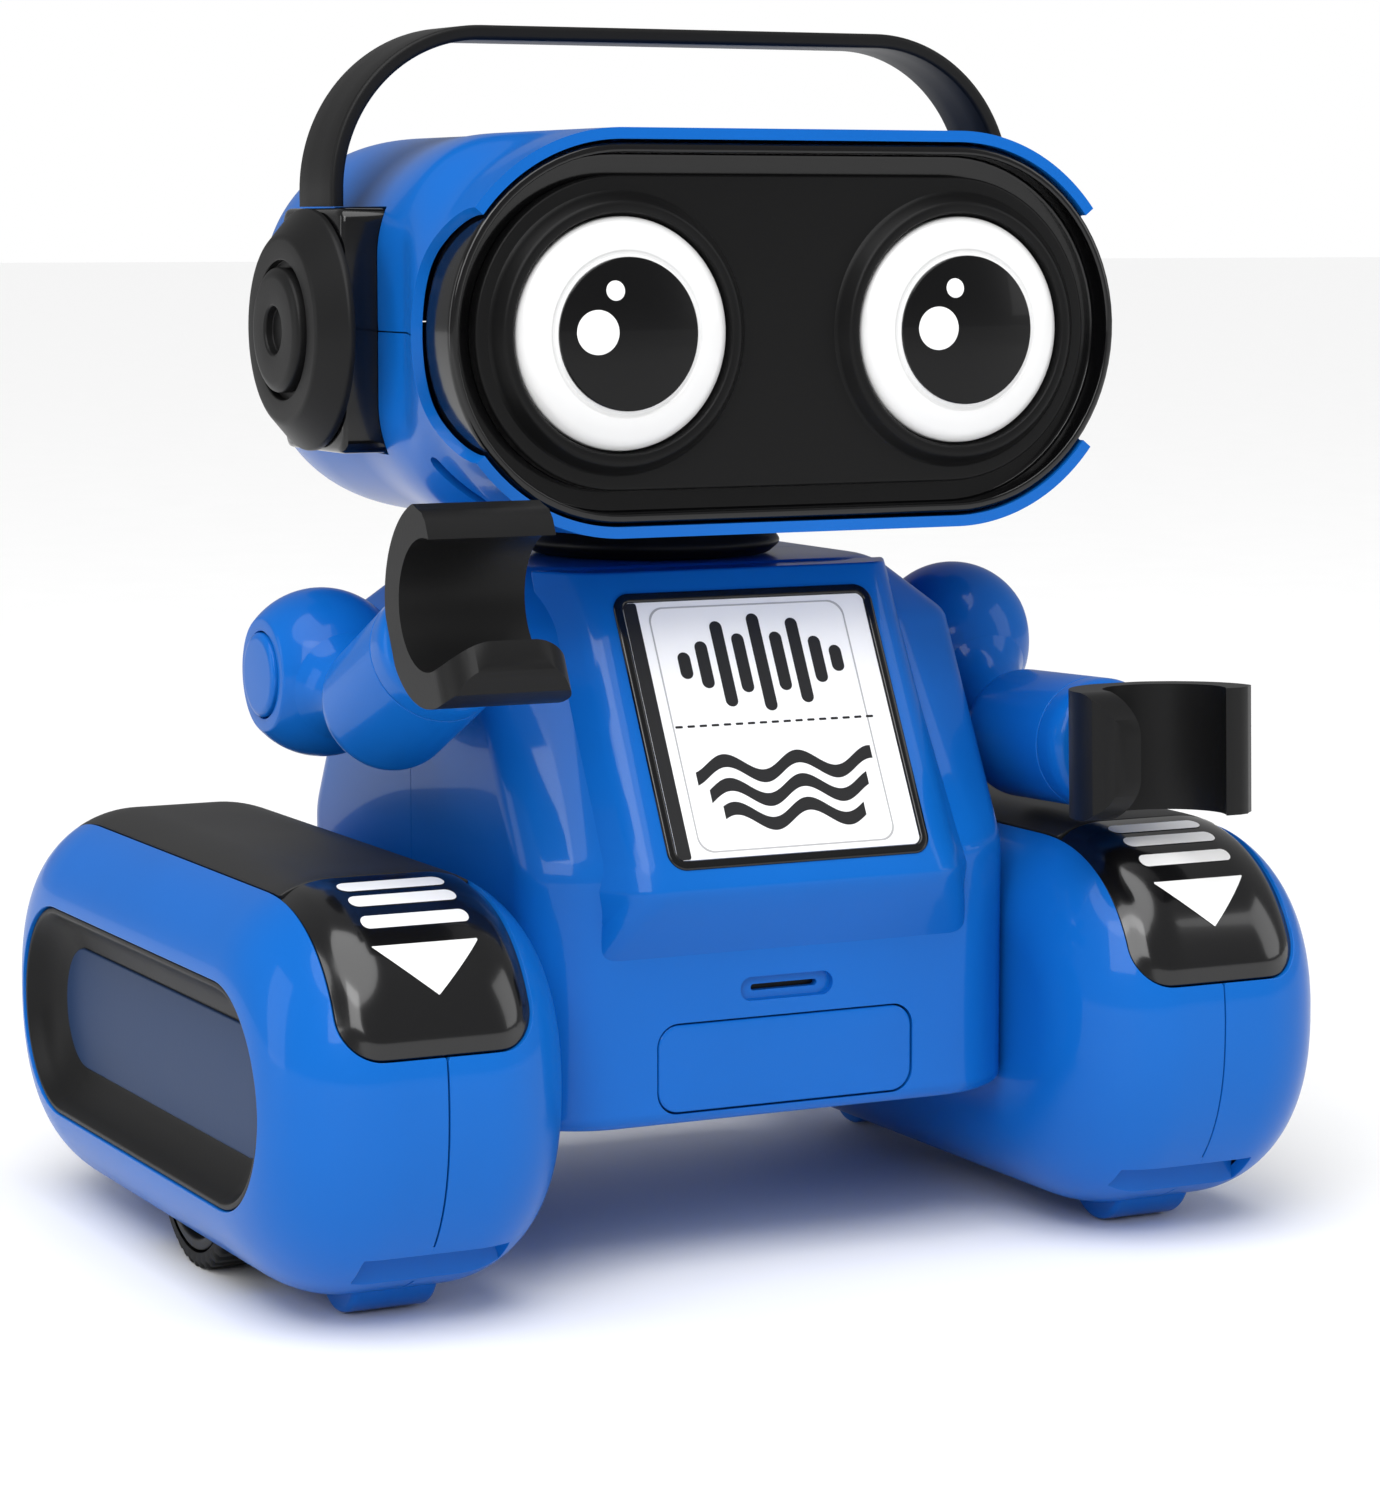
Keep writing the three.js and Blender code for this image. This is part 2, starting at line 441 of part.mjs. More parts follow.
// ---------------------------------------------------------------- arms
// Built level and pointing forwards; ball centre at the arm group's origin.
function armParts(side, sign, lift, twist) {
  const arm = new THREE.Group();
  arm.position.set(sign * BALL_X, BALL_Y, BALL_Z);
  arm.rotation.x = -lift * Math.PI / 180;
  object.add(arm);
  const mirror = (solid) => sign > 0 ? solid : flipX(solid);
  const flat = BALL_FLAT_X - BALL_X;
  const ball = toSolid(new THREE.SphereGeometry(BALL_R, 20, 12)).intersect(box(-20, flat, -20, 20, -20, 20))
    .subtract(disc(CAP_R + GAP, 'x', [0, 0, 0], flat - 2.5, flat + 5, 20))
    .add(disc(SHAFT_R, 'x', [0, 0, 0], 44.5 - BALL_X, 0, 16))
    .add(disc(8, 'x', [0, 0, 0], 44.5 - BALL_X, 47.3 - BALL_X, 16));
  const reach = Math.hypot(FORE_START + 2, ARM_DROP);
  const stub = new THREE.CylinderGeometry(6.6, 7.4, reach, 16);
  stub.translate(0, -reach / 2, 0);
  stub.rotateX(Math.atan2(ARM_DROP, FORE_START + 2));
  const elbow = toSolid(stub).intersect(box(-20, 20, GAP - FORE_START, 20, -40, 20))
    .add(disc(4, 'y', [0, 0, -ARM_DROP], -FORE_START - 5, 3 - FORE_START, 16));
  const socket = disc(4 + GAP, 'y', [0, 0, -ARM_DROP], -FORE_START - 5.5, 1 - FORE_START, 16);
  const forearm = turned([
    [0, FORE_START], [FOREARM_R - 4, FORE_START], [FOREARM_R - 1.2, FORE_START + 1.4], [FOREARM_R, FORE_START + 4],
    [FOREARM_R, FORE_END], [5 + GAP, FORE_END], [5 + GAP, FORE_END - 6], [0, FORE_END - 6],
  ].map(([r, h]) => [r, -h]), 'y', [0, 0, -ARM_DROP]);
  add(side + '_shoulder_ball', mirror(ball).add(elbow), BLUE, arm);
  const cap = turned([[0, flat - 2.2], [CAP_R, flat - 2.2], [CAP_R, flat + 0.6], [CAP_R - 0.7, flat + 1.1], [0, flat + 1.1]],
    'x', [0, 0, 0], 24);
  add(side + '_shoulder_cap', mirror(cap), BLUE, arm);
  add(side + '_forearm', forearm.subtract(socket), BLUE, arm);

  const wrist = new THREE.Group();
  wrist.position.set(0, 0, -ARM_DROP);
  wrist.rotation.y = twist * Math.PI / 180;
  arm.add(wrist);
  const collar = turned([
    [0, FORE_END - 5.5], [5, FORE_END - 5.5], [5, FORE_END + GAP], [FOREARM_R, FORE_END + GAP],
    [FOREARM_R, COLLAR_END - 3], [FOREARM_R - 1, COLLAR_END - 1], [FOREARM_R - 3.5, COLLAR_END], [0, COLLAR_END],
  ].map(([r, h]) => [r, -h]), 'y', [0, 0, 0]);
  const seatY = -(COLLAR_END + GAP);
  const mid = seatY - GRIP_OUT_R + 0.6;
  const tipY = mid - GRIP_REACH;
  const arc = (r, from, to, steps) => [...Array(steps + 1).keys()].map(i => {
    const a = (from + (to - from) * i / steps) * Math.PI / 180;
    return [r * Math.cos(a), mid + r * Math.sin(a)];
  });
  const tipIn = Math.asin(GRIP_REACH / GRIP_IN_R) * 180 / Math.PI;
  const claw = [[GRIP_TIP_R, tipY], [GRIP_TIP_R + 3, tipY + 1.8], ...arc(GRIP_OUT_R, -9, 189, 14),
    [-GRIP_TIP_R - 3, tipY + 1.8], [-GRIP_TIP_R, tipY], ...arc(GRIP_IN_R, 180 + tipIn, -tipIn, 12)];
  const half = GRIP_W / 2;
  const blank = prismX([[seatY, -half], [seatY, half], [tipY + 8, half], [tipY + 2.4, half - 2.4], [tipY, half - 8],
    [tipY, 8 - half], [tipY + 2.4, 2.4 - half], [tipY + 8, -half]], -30, 0)
    .add(box(0, 30, tipY - 1, seatY, -half, half));
  const grip = prismZ(claw, -half, half).intersect(blank);
  add(side + '_wrist_collar', collar, BLUE, wrist);
  add(side + '_gripper', grip, SATIN_BLACK, wrist);
}

function flipX(solid) {
  const mesh = solid.getMesh();
  const vertProperties = new Float32Array(mesh.vertProperties).map((v, i) => i % 3 === 0 ? -v : v);
  return new wasm.Manifold(new wasm.Mesh({ numProp: 3, vertProperties, triVerts: new Uint32Array(mesh.triVerts).reverse() }));
}

// ---------------------------------------------------------------- pods
function podOutline(inset) {
  const pts = [];
  const h = POD_HALF_H - inset;
  for (const end of [1, -1]) {
    for (let i = 0; i <= 12; i++) {
      const a = Math.PI * (i / 12 - 0.5);
      const c = Math.abs(Math.cos(a)) ** (2 / POD_N);
      const s = Math.sign(Math.sin(a)) * Math.abs(Math.sin(a)) ** (2 / POD_N);
      pts.push([end * (POD_END_Y + h * c), POD_Z + end * h * s]);
    }
  }
  return pts;
}

function podSolid(inset) {
  const round = 20;
  const x0 = POD_X - POD_HALF_W + inset;
  const x1 = POD_X + POD_HALF_W - inset;
  const depth = [0.004, 0.07, 0.22, 0.5, 1];
  const drop = (k) => (round - inset) * (1 - Math.sqrt(1 - (1 - k) ** 2));
  const sections = [
    ...depth.map(k => [x0 + k * (round - inset), podOutline(inset + drop(k))]),
    ...depth.map(k => [x1 - k * (round - inset), podOutline(inset + drop(k))]).reverse(),
  ];
  return toSolid(loft(ringsAlongX(sections)));
}

function podParts() {
  const skin = podSolid(0).subtract(podSolid(WALL));
  const top = (grow, yBack, yFront, zBack) => box(POD_X - COVER_HALF_W - grow, POD_X + COVER_HALF_W + grow, yFront, yBack, zBack, 100);
  const coverZone = top(0, 90, LENS_BACK_Y + GAP / 2, POD_Z + 6);
  const lensZone = top(0, LENS_BACK_Y - GAP / 2, -90, LENS_FOOT_Z);
  const gapZone = top(GAP, 90, LENS_BACK_Y, POD_Z + 6 - GAP).add(top(GAP, LENS_BACK_Y, -90, LENS_FOOT_Z - GAP));
  addPair('pod_cover', skin.intersect(coverZone), SATIN_BLACK);
  addPair('pod_lens', skin.intersect(lensZone), SMOKED);

  const ringHole = prismX(stadium(RING_END_Y, RING_R + GAP, 0, RING_Z, 10), POD_X + 20, POD_X + 40);
  const well = box(WHEEL_OUT_X - WHEEL_W - 1, WHEEL_OUT_X + 1, WHEEL_Y - WHEEL_R - 2, WHEEL_Y + WHEEL_R + 2, -1, POD_Z - 10);
  const notch = box(POD_X - 16, POD_X + 12, -90, -66, -1, 15).add(box(POD_X - 16, POD_X + 12, 66, 90, -1, 15));
  const shell = skin.subtract(gapZone).subtract(ringHole).subtract(well).subtract(notch);
  addPair('pod_outer_shell', shell.intersect(box(SEAM_X + GAP / 2, 130, -100, 100, -10, 100)), BLUE);
  addPair('pod_inner_shell', shell.intersect(box(0, SEAM_X - GAP / 2, -100, 100, -10, 100)), BLUE);

  const ringFace = POD_X + POD_HALF_W - 0.6;
  const bowl = loft(ringsAlongX([
    [ringFace + 0.1, stadium(RING_END_Y, RING_R - 1, 0, RING_Z, 10)],
    [ringFace - 6, stadium(RING_END_Y - 1, RING_R - 8, 0, RING_Z, 10)],
  ]));
  const ring = prismX(stadium(RING_END_Y, RING_R, 0, RING_Z, 10), ringFace - 6.4, ringFace).subtract(toSolid(bowl))
    .subtract(prismX(stadium(RING_END_Y - 1, RING_R - 8, 0, RING_Z, 10), ringFace - 9, ringFace - 5.9));
  addPair('side_ring', ring, SATIN_BLACK);
  addPair('side_panel', prismX(stadium(RING_END_Y - 1, RING_R - 8 - GAP, 0, RING_Z, 10), ringFace - 7, ringFace - 5.7), BLUE_INSERT);

  const axle = [0, WHEEL_Y, WHEEL_R];
  const inX = WHEEL_OUT_X - WHEEL_W;
  const hub = turned([
    [0, inX - 9], [3, inX - 9], [3, inX], [WHEEL_R - 3 - GAP, inX], [WHEEL_R - 3 - GAP, WHEEL_OUT_X], [0, WHEEL_OUT_X],
  ], 'x', axle, 28);
  addPair('drive_wheel', hub, GLOSS_BLACK);
  addPair('tyre', tube(WHEEL_R, WHEEL_R - 3, 'x', axle, inX, WHEEL_OUT_X, 36), RUBBER);
  const motor = box(POD_X - 17.5, inX - 2, WHEEL_Y - 9, WHEEL_Y + 26, WHEEL_R - 9, WHEEL_R + 11)
    .subtract(disc(3 + GAP, 'x', axle, inX - 10, inX, 20));
  addPair('gear_motor', motor, WHITE);

  for (const [name, y] of [['front_skid', SKID_Y], ['rear_skid', -SKID_Y]]) {
    const skid = [];
    for (let i = 0; i <= 10; i++) {
      const a = Math.PI * (i / 10) + Math.PI;
      skid.push([y + 9.5 * Math.cos(a), SKID_CLEAR + 10 + 10 * Math.sin(a)]);
    }
    const foot = prismX(skid, POD_X - 8.3, POD_X + 8);
    addPair(name, foot.subtract(podSolid(-GAP)), BLUE);
  }
}

headParts();
torsoParts();
armParts('right', -1, RIGHT_ARM_LIFT, -90);
armParts('left', 1, LEFT_ARM_LIFT, 0);
podParts();

const robot = new THREE.Group();
robot.add(object);

export default robot;
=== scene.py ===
"""Looks for the rolling toy robot: detailed shells, face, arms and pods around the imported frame."""
import math

import bmesh
import bpy
import numpy as np
from mathutils import Matrix, Vector


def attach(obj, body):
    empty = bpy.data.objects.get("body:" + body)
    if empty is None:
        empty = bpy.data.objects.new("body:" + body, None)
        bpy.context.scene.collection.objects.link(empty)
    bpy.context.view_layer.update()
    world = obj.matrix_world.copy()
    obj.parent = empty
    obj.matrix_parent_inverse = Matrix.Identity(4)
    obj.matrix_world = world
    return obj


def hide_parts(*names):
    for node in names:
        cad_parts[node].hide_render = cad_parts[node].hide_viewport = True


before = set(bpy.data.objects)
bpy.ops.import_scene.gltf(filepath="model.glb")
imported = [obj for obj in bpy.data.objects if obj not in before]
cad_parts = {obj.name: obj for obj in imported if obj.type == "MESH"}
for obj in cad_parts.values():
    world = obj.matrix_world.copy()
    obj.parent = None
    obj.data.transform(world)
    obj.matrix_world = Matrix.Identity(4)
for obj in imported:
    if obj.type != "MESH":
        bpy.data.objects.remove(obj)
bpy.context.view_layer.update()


# Shapes are written in millimetres; place() shifts them by FOOTPRINT_Y and turns them into metres.
MM_PER_M = 1000.0
FOOTPRINT_Y = 2.3
TINY = 1e-6
FAR = 1e3

HEAD_Z = 171.2
HEAD_BACK = 48.0
FACE_STRAIGHT = 33.8
FACE_RADIUS = 35.8
EYE_X = 34.0
EAR_Y = -5.5
NECK_BASE = (0, 1, 127.8)

TORSO_Y = 2.0
TORSO_DEPTH = 57.1
WALL_Y = TORSO_Y - TORSO_DEPTH
CHEST_Z = 75.8
CHEST_SLOPE = 0.522
HATCH_Z = 39

BALL = (67.5, 2.3, 107.8)
ARM_DROP = 16.6

POD_X = 78.5
POD_Z = 41.0
POD_HALF_WIDTH = 28.3
POD_STRAIGHT = 44.2
POD_RADIUS = 37.0
POD_EDGE = 20.0
WHEEL_AXLE = (0, -6, 20)


# ------------------------------------------------------------------ materials
DRIFT_SCALE, DRIFT_DETAIL = 26.0, 3.0
DRIFT_START, DRIFT_END = 0.3, 0.7
GRAIN_DETAIL, GRAIN_DEPTH = 2.0, 0.0002
LEAST_ROUGHNESS = 0.02
PLASTIC_IOR = 1.5


def plastic(name, color, roughness, spread=0.04, bump=0.02, scale=900.0, coat=0.0, coat_rough=0.05,
            metallic=0.0, fleck=0.03, shine=0.5):
    """Moulded plastic: slight colour drift, fine surface texture and small gloss changes."""
    mat = bpy.data.materials.new(name)
    mat.use_nodes = True
    nodes, links = mat.node_tree.nodes, mat.node_tree.links
    bsdf = nodes["Principled BSDF"]
    coords = nodes.new("ShaderNodeTexCoord")
    drift = nodes.new("ShaderNodeTexNoise")
    drift.inputs["Scale"].default_value = DRIFT_SCALE
    drift.inputs["Detail"].default_value = DRIFT_DETAIL
    links.new(coords.outputs["Object"], drift.inputs["Vector"])
    ramp = nodes.new("ShaderNodeValToRGB")
    dark = [c * (1 - fleck) for c in color]
    light = [min(1.0, c * (1 + fleck)) for c in color]
    ramp.color_ramp.elements[0].position = DRIFT_START
    ramp.color_ramp.elements[1].position = DRIFT_END
    ramp.color_ramp.elements[0].color = (*dark, 1)
    ramp.color_ramp.elements[1].color = (*light, 1)
    links.new(drift.outputs["Fac"], ramp.inputs["Fac"])
    links.new(ramp.outputs["Color"], bsdf.inputs["Base Color"])
    rough = nodes.new("ShaderNodeMapRange")
    rough.inputs["To Min"].default_value = max(LEAST_ROUGHNESS, roughness - spread)
    rough.inputs["To Max"].default_value = roughness + spread
    links.new(drift.outputs["Fac"], rough.inputs["Value"])
    links.new(rough.outputs["Result"], bsdf.inputs["Roughness"])
    grain = nodes.new("ShaderNodeTexNoise")
    grain.inputs["Scale"].default_value = scale
    grain.inputs["Detail"].default_value = GRAIN_DETAIL
    links.new(coords.outputs["Object"], grain.inputs["Vector"])
    bumper = nodes.new("ShaderNodeBump")
    bumper.inputs["Strength"].default_value = bump
    bumper.inputs["Distance"].default_value = GRAIN_DEPTH
    links.new(grain.outputs["Fac"], bumper.inputs["Height"])
    links.new(bumper.outputs["Normal"], bsdf.inputs["Normal"])
    bsdf.inputs["Metallic"].default_value = metallic
    bsdf.inputs["IOR"].default_value = PLASTIC_IOR
    bsdf.inputs["Specular IOR Level"].default_value = shine
    bsdf.inputs["Coat Weight"].default_value = coat
    bsdf.inputs["Coat Roughness"].default_value = coat_rough
    return mat


BLUE = plastic("blue_gloss", (0.004, 0.115, 0.46), 0.3, coat=0.25, coat_rough=0.06, bump=0.012, shine=0.05)
PANEL_BLUE = plastic("blue_panel", (0.014, 0.038, 0.105), 0.45, bump=0.05, shine=0.15)
GLOSS_BLACK = plastic("black_gloss", (0.003, 0.003, 0.0033), 0.16, coat=0.25, spread=0.02, bump=0.006,
                      shine=0.3)
SATIN_BLACK = plastic("black_satin", (0.0065, 0.0065, 0.0067), 0.42, bump=0.06, scale=1400.0, shine=0.17)
FACE_BLACK = plastic("black_face", (0.006, 0.006, 0.0062), 0.36, bump=0.04, scale=1600.0, shine=0.12)
COVER_BLACK = plastic("black_cover", (0.013, 0.013, 0.013), 0.5, bump=0.09, scale=1500.0, shine=0.35)
SMOKED = plastic("smoked_window", (0.004, 0.004, 0.0045), 0.16, coat=0.3, coat_rough=0.06, spread=0.02,
                 bump=0.003, shine=0.4)
PUPIL = plastic("pupil_gloss", (0.003, 0.003, 0.0033), 0.25, coat=0.12, spread=0.02, bump=0.003,
                shine=0.15)
WHITE = plastic("white_gloss", (0.76, 0.76, 0.76), 0.25, coat=0.4, bump=0.01, fleck=0.01)
PRINT_WHITE = plastic("display_white", (0.90, 0.90, 0.91), 0.3, bump=0.01, fleck=0.008)
PRINT_GREY = plastic("display_grey", (0.42, 0.42, 0.43), 0.4, bump=0.02, fleck=0.02)
PRINT_BLACK = plastic("display_ink", (0.012, 0.012, 0.013), 0.4, bump=0.02, shine=0.3)
MARK_WHITE = plastic("window_marks", (0.86, 0.86, 0.86), 0.25, coat=0.4, bump=0.01, fleck=0.01)
RUBBER = plastic("tyre_rubber", (0.012, 0.012, 0.012), 0.78, bump=0.25, scale=2200.0, shine=0.3)
STEEL = plastic("speaker_metal", (0.45, 0.46, 0.48), 0.32, metallic=1.0, bump=0.05)
BOARD = plastic("board_green", (0.02, 0.12, 0.045), 0.4, bump=0.1, scale=500.0, fleck=0.12)
MOTOR = plastic("motor_white", (0.62, 0.62, 0.58), 0.4, bump=0.05)


# ------------------------------------------------------------------ mesh helpers
WELD, SLIVER = 0.00012, 0.00005


def smin(a, b, k):
    """The smaller value, with the change from one to the other rounded over k."""
    h = np.clip(0.5 + 0.5 * (b - a) / k, 0, 1)
    return b * (1 - h) + a * h - k * h * (1 - h)


def smax(a, b, k):
    """The larger value, rounded in the same way."""
    return -smin(-a, -b, k)


def ease(x):
    """Smooth step from 0 to 1."""
    x = np.clip(x, 0, 1)
    return x * x * (3 - 2 * x)


def place(points, turn=None):
    """Millimetre points, turned by a matrix where one is given, as metres in the shared frame."""
    p = np.asarray(points, float).reshape(-1, 3)
    if turn is not None:
        m = np.array(turn)
        p = p @ m[:3, :3].T + m[:3, 3]
    return (p + np.array([0, FOOTPRINT_Y, 0])) / MM_PER_M


def add_object(name, data):
    obj = bpy.data.objects.new(name, data)
    bpy.context.scene.collection.objects.link(obj)
    return obj


def finish_mesh(name, points, faces, material, body, slot, stands_for=(), turn=None, wall=0.0,
                bevel=0.0, sharp=38, flip=False, bevel_angle=40, segments=3):
    """Adds one visual piece; wall and bevel are in millimetres, sharp and bevel_angle in degrees."""
    mesh = bpy.data.meshes.new(name)
    faces = [list(f)[::-1] for f in faces] if flip else [list(f) for f in faces]
    mesh.from_pydata(place(points, turn).tolist(), [], faces)
    if wall:
        welded = bmesh.new()
        welded.from_mesh(mesh)
        bmesh.ops.remove_doubles(welded, verts=welded.verts, dist=WELD)
        bmesh.ops.dissolve_degenerate(welded, edges=welded.edges, dist=SLIVER)
        welded.to_mesh(mesh)
        welded.free()
    mesh.validate()
    mesh.update()
    obj = add_object(name, mesh)
    mesh.materials.append(material)
    mesh.shade_smooth()
    mesh.set_sharp_from_angle(angle=math.radians(sharp))
    if wall:
        mod = obj.modifiers.new("wall", "SOLIDIFY")
        mod.thickness = wall / MM_PER_M
        mod.offset = -1.0
    if bevel:
        mod = obj.modifiers.new("edge", "BEVEL")
        mod.width = bevel / MM_PER_M
        mod.segments = segments
        mod.limit_method = "ANGLE"
        mod.angle_limit = math.radians(bevel_angle)
        mod.harden_normals = True
        mod.use_clamp_overlap = True
    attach(obj, body)
    if stands_for:
        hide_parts(*([stands_for] if isinstance(stands_for, str) else stands_for))


def band_faces(a, b, n):
    """Quads between ring a and ring b, of n points each."""
    return [(a * n + i, a * n + (i + 1) % n, b * n + (i + 1) % n, b * n + i) for i in range(n)]


def loft(rings, close_start=True, close_end=True):
    """Points and faces through rings of equal count."""
    rings = [np.asarray(r, float) for r in rings]
    n, last = len(rings[0]), len(rings) - 1
    faces = []
    for r in range(last):
        faces += band_faces(r, r + 1, n)
    if close_start:
        faces.append(list(range(n))[::-1])
    if close_end:
        faces.append([last * n + i for i in range(n)])
    return np.vstack(rings), faces


def turned(profile, segments=96, axis="y", centre=(0, 0, 0), sign=1):
    """Lathe: profile is [(radius, distance)], smooth round the axis through centre."""
    angles = np.linspace(0, 2 * np.pi, segments, endpoint=False)
    rings = []
    for r, h in profile:
        c, s = r * np.cos(angles), r * np.sin(angles)
        d = np.full(segments, sign * h)
        ring = {"x": np.c_[d, c, s], "y": np.c_[c, d, s], "z": np.c_[c, s, d]}[axis]
        rings.append(ring + np.array(centre))
    return loft(rings, profile[0][0] > TINY, profile[-1][0] > TINY)


def fillet_profile(points, radii, steps=5):
    """Rounds the corners of an open profile; radii are tangent lengths."""
    most = 0.49
    pts = [np.array(p, float) for p in points]
    out = [pts[0]]
    for i in range(1, len(pts) - 1):
        a, b, c = pts[i - 1], pts[i], pts[i + 1]
        r = radii[i - 1]
        la, lc = np.linalg.norm(a - b), np.linalg.norm(c - b)
        p, q = b + (a - b) / la * min(r, la * most), b + (c - b) / lc * min(r, lc * most)
        for t in np.linspace(0, 1, steps):
            out.append((1 - t) ** 2 * p + 2 * t * (1 - t) * b + t * t * q)
    out.append(pts[-1])
    return [tuple(p) for p in out]


def rrect(a, b, r, arc=14, horizontal=10, vertical=6, centre=(0, 0)):
    """Rounded rectangle outline with a fixed number of points, from the lower right corner."""
    straight = 0.05
    r = min(r, a - straight, b - straight)
    signs = [(1, -1), (1, 1), (-1, 1), (-1, -1)]

    def on_corner(k, angle):
        su, sv = signs[k % 4]
        return su * (a - r) + r * math.cos(angle), sv * (b - r) + r * math.sin(angle)

    pts = []
    for k in range(4):
        start = math.pi / 2 * (k - 1)
        pts += [on_corner(k, start + t * math.pi / 2) for t in np.linspace(0, 1, arc)]
        p, q = np.array(pts[-1]), np.array(on_corner(k + 1, start + math.pi / 2))
        count = vertical if k % 2 == 0 else horizontal
        pts += [tuple(p + (q - p) * t) for t in np.linspace(0, 1, count + 2)[1:-1]]
    return np.array(pts) + np.array(centre)


def facing_front(uv, y):
    """Outline in x, z at depth y."""
    uv = np.asarray(uv)
    return np.c_[uv[:, 0], np.full(len(uv), y), uv[:, 1]]


def facing_side(uv, x):
    """Outline in y, z at x."""
    return np.c_[np.full(len(uv), x), np.asarray(uv)]


def framed(outline, profile, loop=False):
    """Sweeps a profile of (offset, depth) round a front outline, which is a function of the offset."""
    rings = [facing_front(outline(off), h) for off, h in profile]
    points, faces = loft(rings, not loop, not loop)
    if loop:
        faces += band_faces(len(rings) - 1, 0, len(rings[0]))
    return points, faces


def panel(surface, us, vs, inside, wrap_u=True):
    """Keeps the cells of a surface where inside(points) > 0, with the edge vertices moved onto the line."""
    passes, close, missed, tiny, small = 3, 0.56, 0.25, 1e-9, 1e-4
    us, vs = np.asarray(us, float), np.asarray(vs, float)
    U, V = np.meshgrid(us, vs, indexing="ij")
    eu, ev = small * (us[-1] - us[0]), small * (vs[-1] - vs[0])
    P = surface(U, V)
    D = inside(P)
    step_u, step_v = np.gradient(us)[:, None], np.gradient(vs)[None, :]
    for _ in range(passes):
        Pu, Pv = surface(U + eu, V), surface(U, V + ev)
        Lu = np.linalg.norm(Pu - P, axis=-1) / eu + tiny
        Lv = np.linalg.norm(Pv - P, axis=-1) / ev + tiny
        Gu, Gv = (inside(Pu) - D) / eu, (inside(Pv) - D) / ev
        au, av = Gu / Lu, Gv / Lv
        norm = au ** 2 + av ** 2 + tiny
        reach = np.abs(au) * Lu * np.abs(step_u) + np.abs(av) * Lv * np.abs(step_v)
        near = np.abs(D) < close * reach
        U = np.where(near, U - D * au / norm / Lu, U)
        V = np.where(near, np.clip(V - D * av / norm / Lv, vs[0], vs[-1]), V)
        P = surface(U, V)
        D = inside(P)
        D = np.where(near & (np.abs(D) < missed), 0.0, D)
    nu, nv = U.shape
    index = np.arange(nu * nv).reshape(nu, nv)
    faces = []
    d = D.reshape(-1)
    for i in range(nu if wrap_u else nu - 1):
        k = (i + 1) % nu
        for j in range(nv - 1):
            quad = [index[i, j], index[k, j], index[k, j + 1], index[i, j + 1]]
            keep = [q for q in quad if d[q] >= 0]
            if len(keep) >= 3 and max(d[q] for q in keep) > 0:
                faces.append(keep)
    points = P.reshape(-1, 3)
    used = sorted({q for f in faces for q in f})
    remap = {q: i for i, q in enumerate(used)}
    return points[used], [[remap[q] for q in f] for f in faces]


def mirrored(points, faces):
    """A left shape as its right-hand image."""
    return np.asarray(points) * np.array([-1, 1, 1]), [list(f)[::-1] for f in faces]


def pair(name, made, material, slot, bodies=("chassis", "chassis"), stands=None, **more):
    """Adds a left piece as built on the +X side, and its mirror image on the right."""
    for side, body, shape in (("left", bodies[0], made), ("right", bodies[1], mirrored(*made))):
        nodes = [side + "_" + stands] if stands else []
        finish_mesh(side + "_" + name, *shape, material, body, slot, nodes, **more)


def box_in(p, x=None, y=None, z=None):
    """Distance inside an axis-aligned box; None leaves an axis open."""
    d = np.full(p.shape[:-1], FAR)
    for axis, span in enumerate((x, y, z)):
        if span is not None:
            d = np.minimum(d, np.minimum(p[..., axis] - span[0], span[1] - p[..., axis]))
    return d


def round_box_in(u, v, a, b, r):
    """Distance inside a rounded rectangle with half sizes a, b about the origin."""
    qu, qv = np.abs(u) - (a - r), np.abs(v) - (b - r)
    outside = np.hypot(np.maximum(qu, 0), np.maximum(qv, 0))
    return r - outside - np.minimum(np.maximum(qu, qv), 0)


def stadium_in(u, v, s, r):
    """Distance inside a stadium about the origin."""
    return r - np.hypot(np.maximum(np.abs(u) - s, 0), v)


def stadium_ring(s, r, centre_v, arc=40, straight=12):
    """Outline of two half circles of radius r with straights of half length s between them."""
    pts = []
    for side in (1, -1):
        for a in np.linspace(-math.pi / 2, math.pi / 2, arc):
            pts.append((side * (s + r * math.cos(a)), centre_v + side * r * math.sin(a)))
        for t in np.linspace(0, 1, straight + 2)[1:-1]:
            pts.append((side * (s - 2 * s * t), centre_v + side * r))
    return np.array(pts)


# ------------------------------------------------------------------ head
SEAM = 0.13
CHEEK_SLOT, CHEEK_RUN = np.array([62.6, -41.0, 148.3]), np.array([-7.2, -2.8, -6.4])


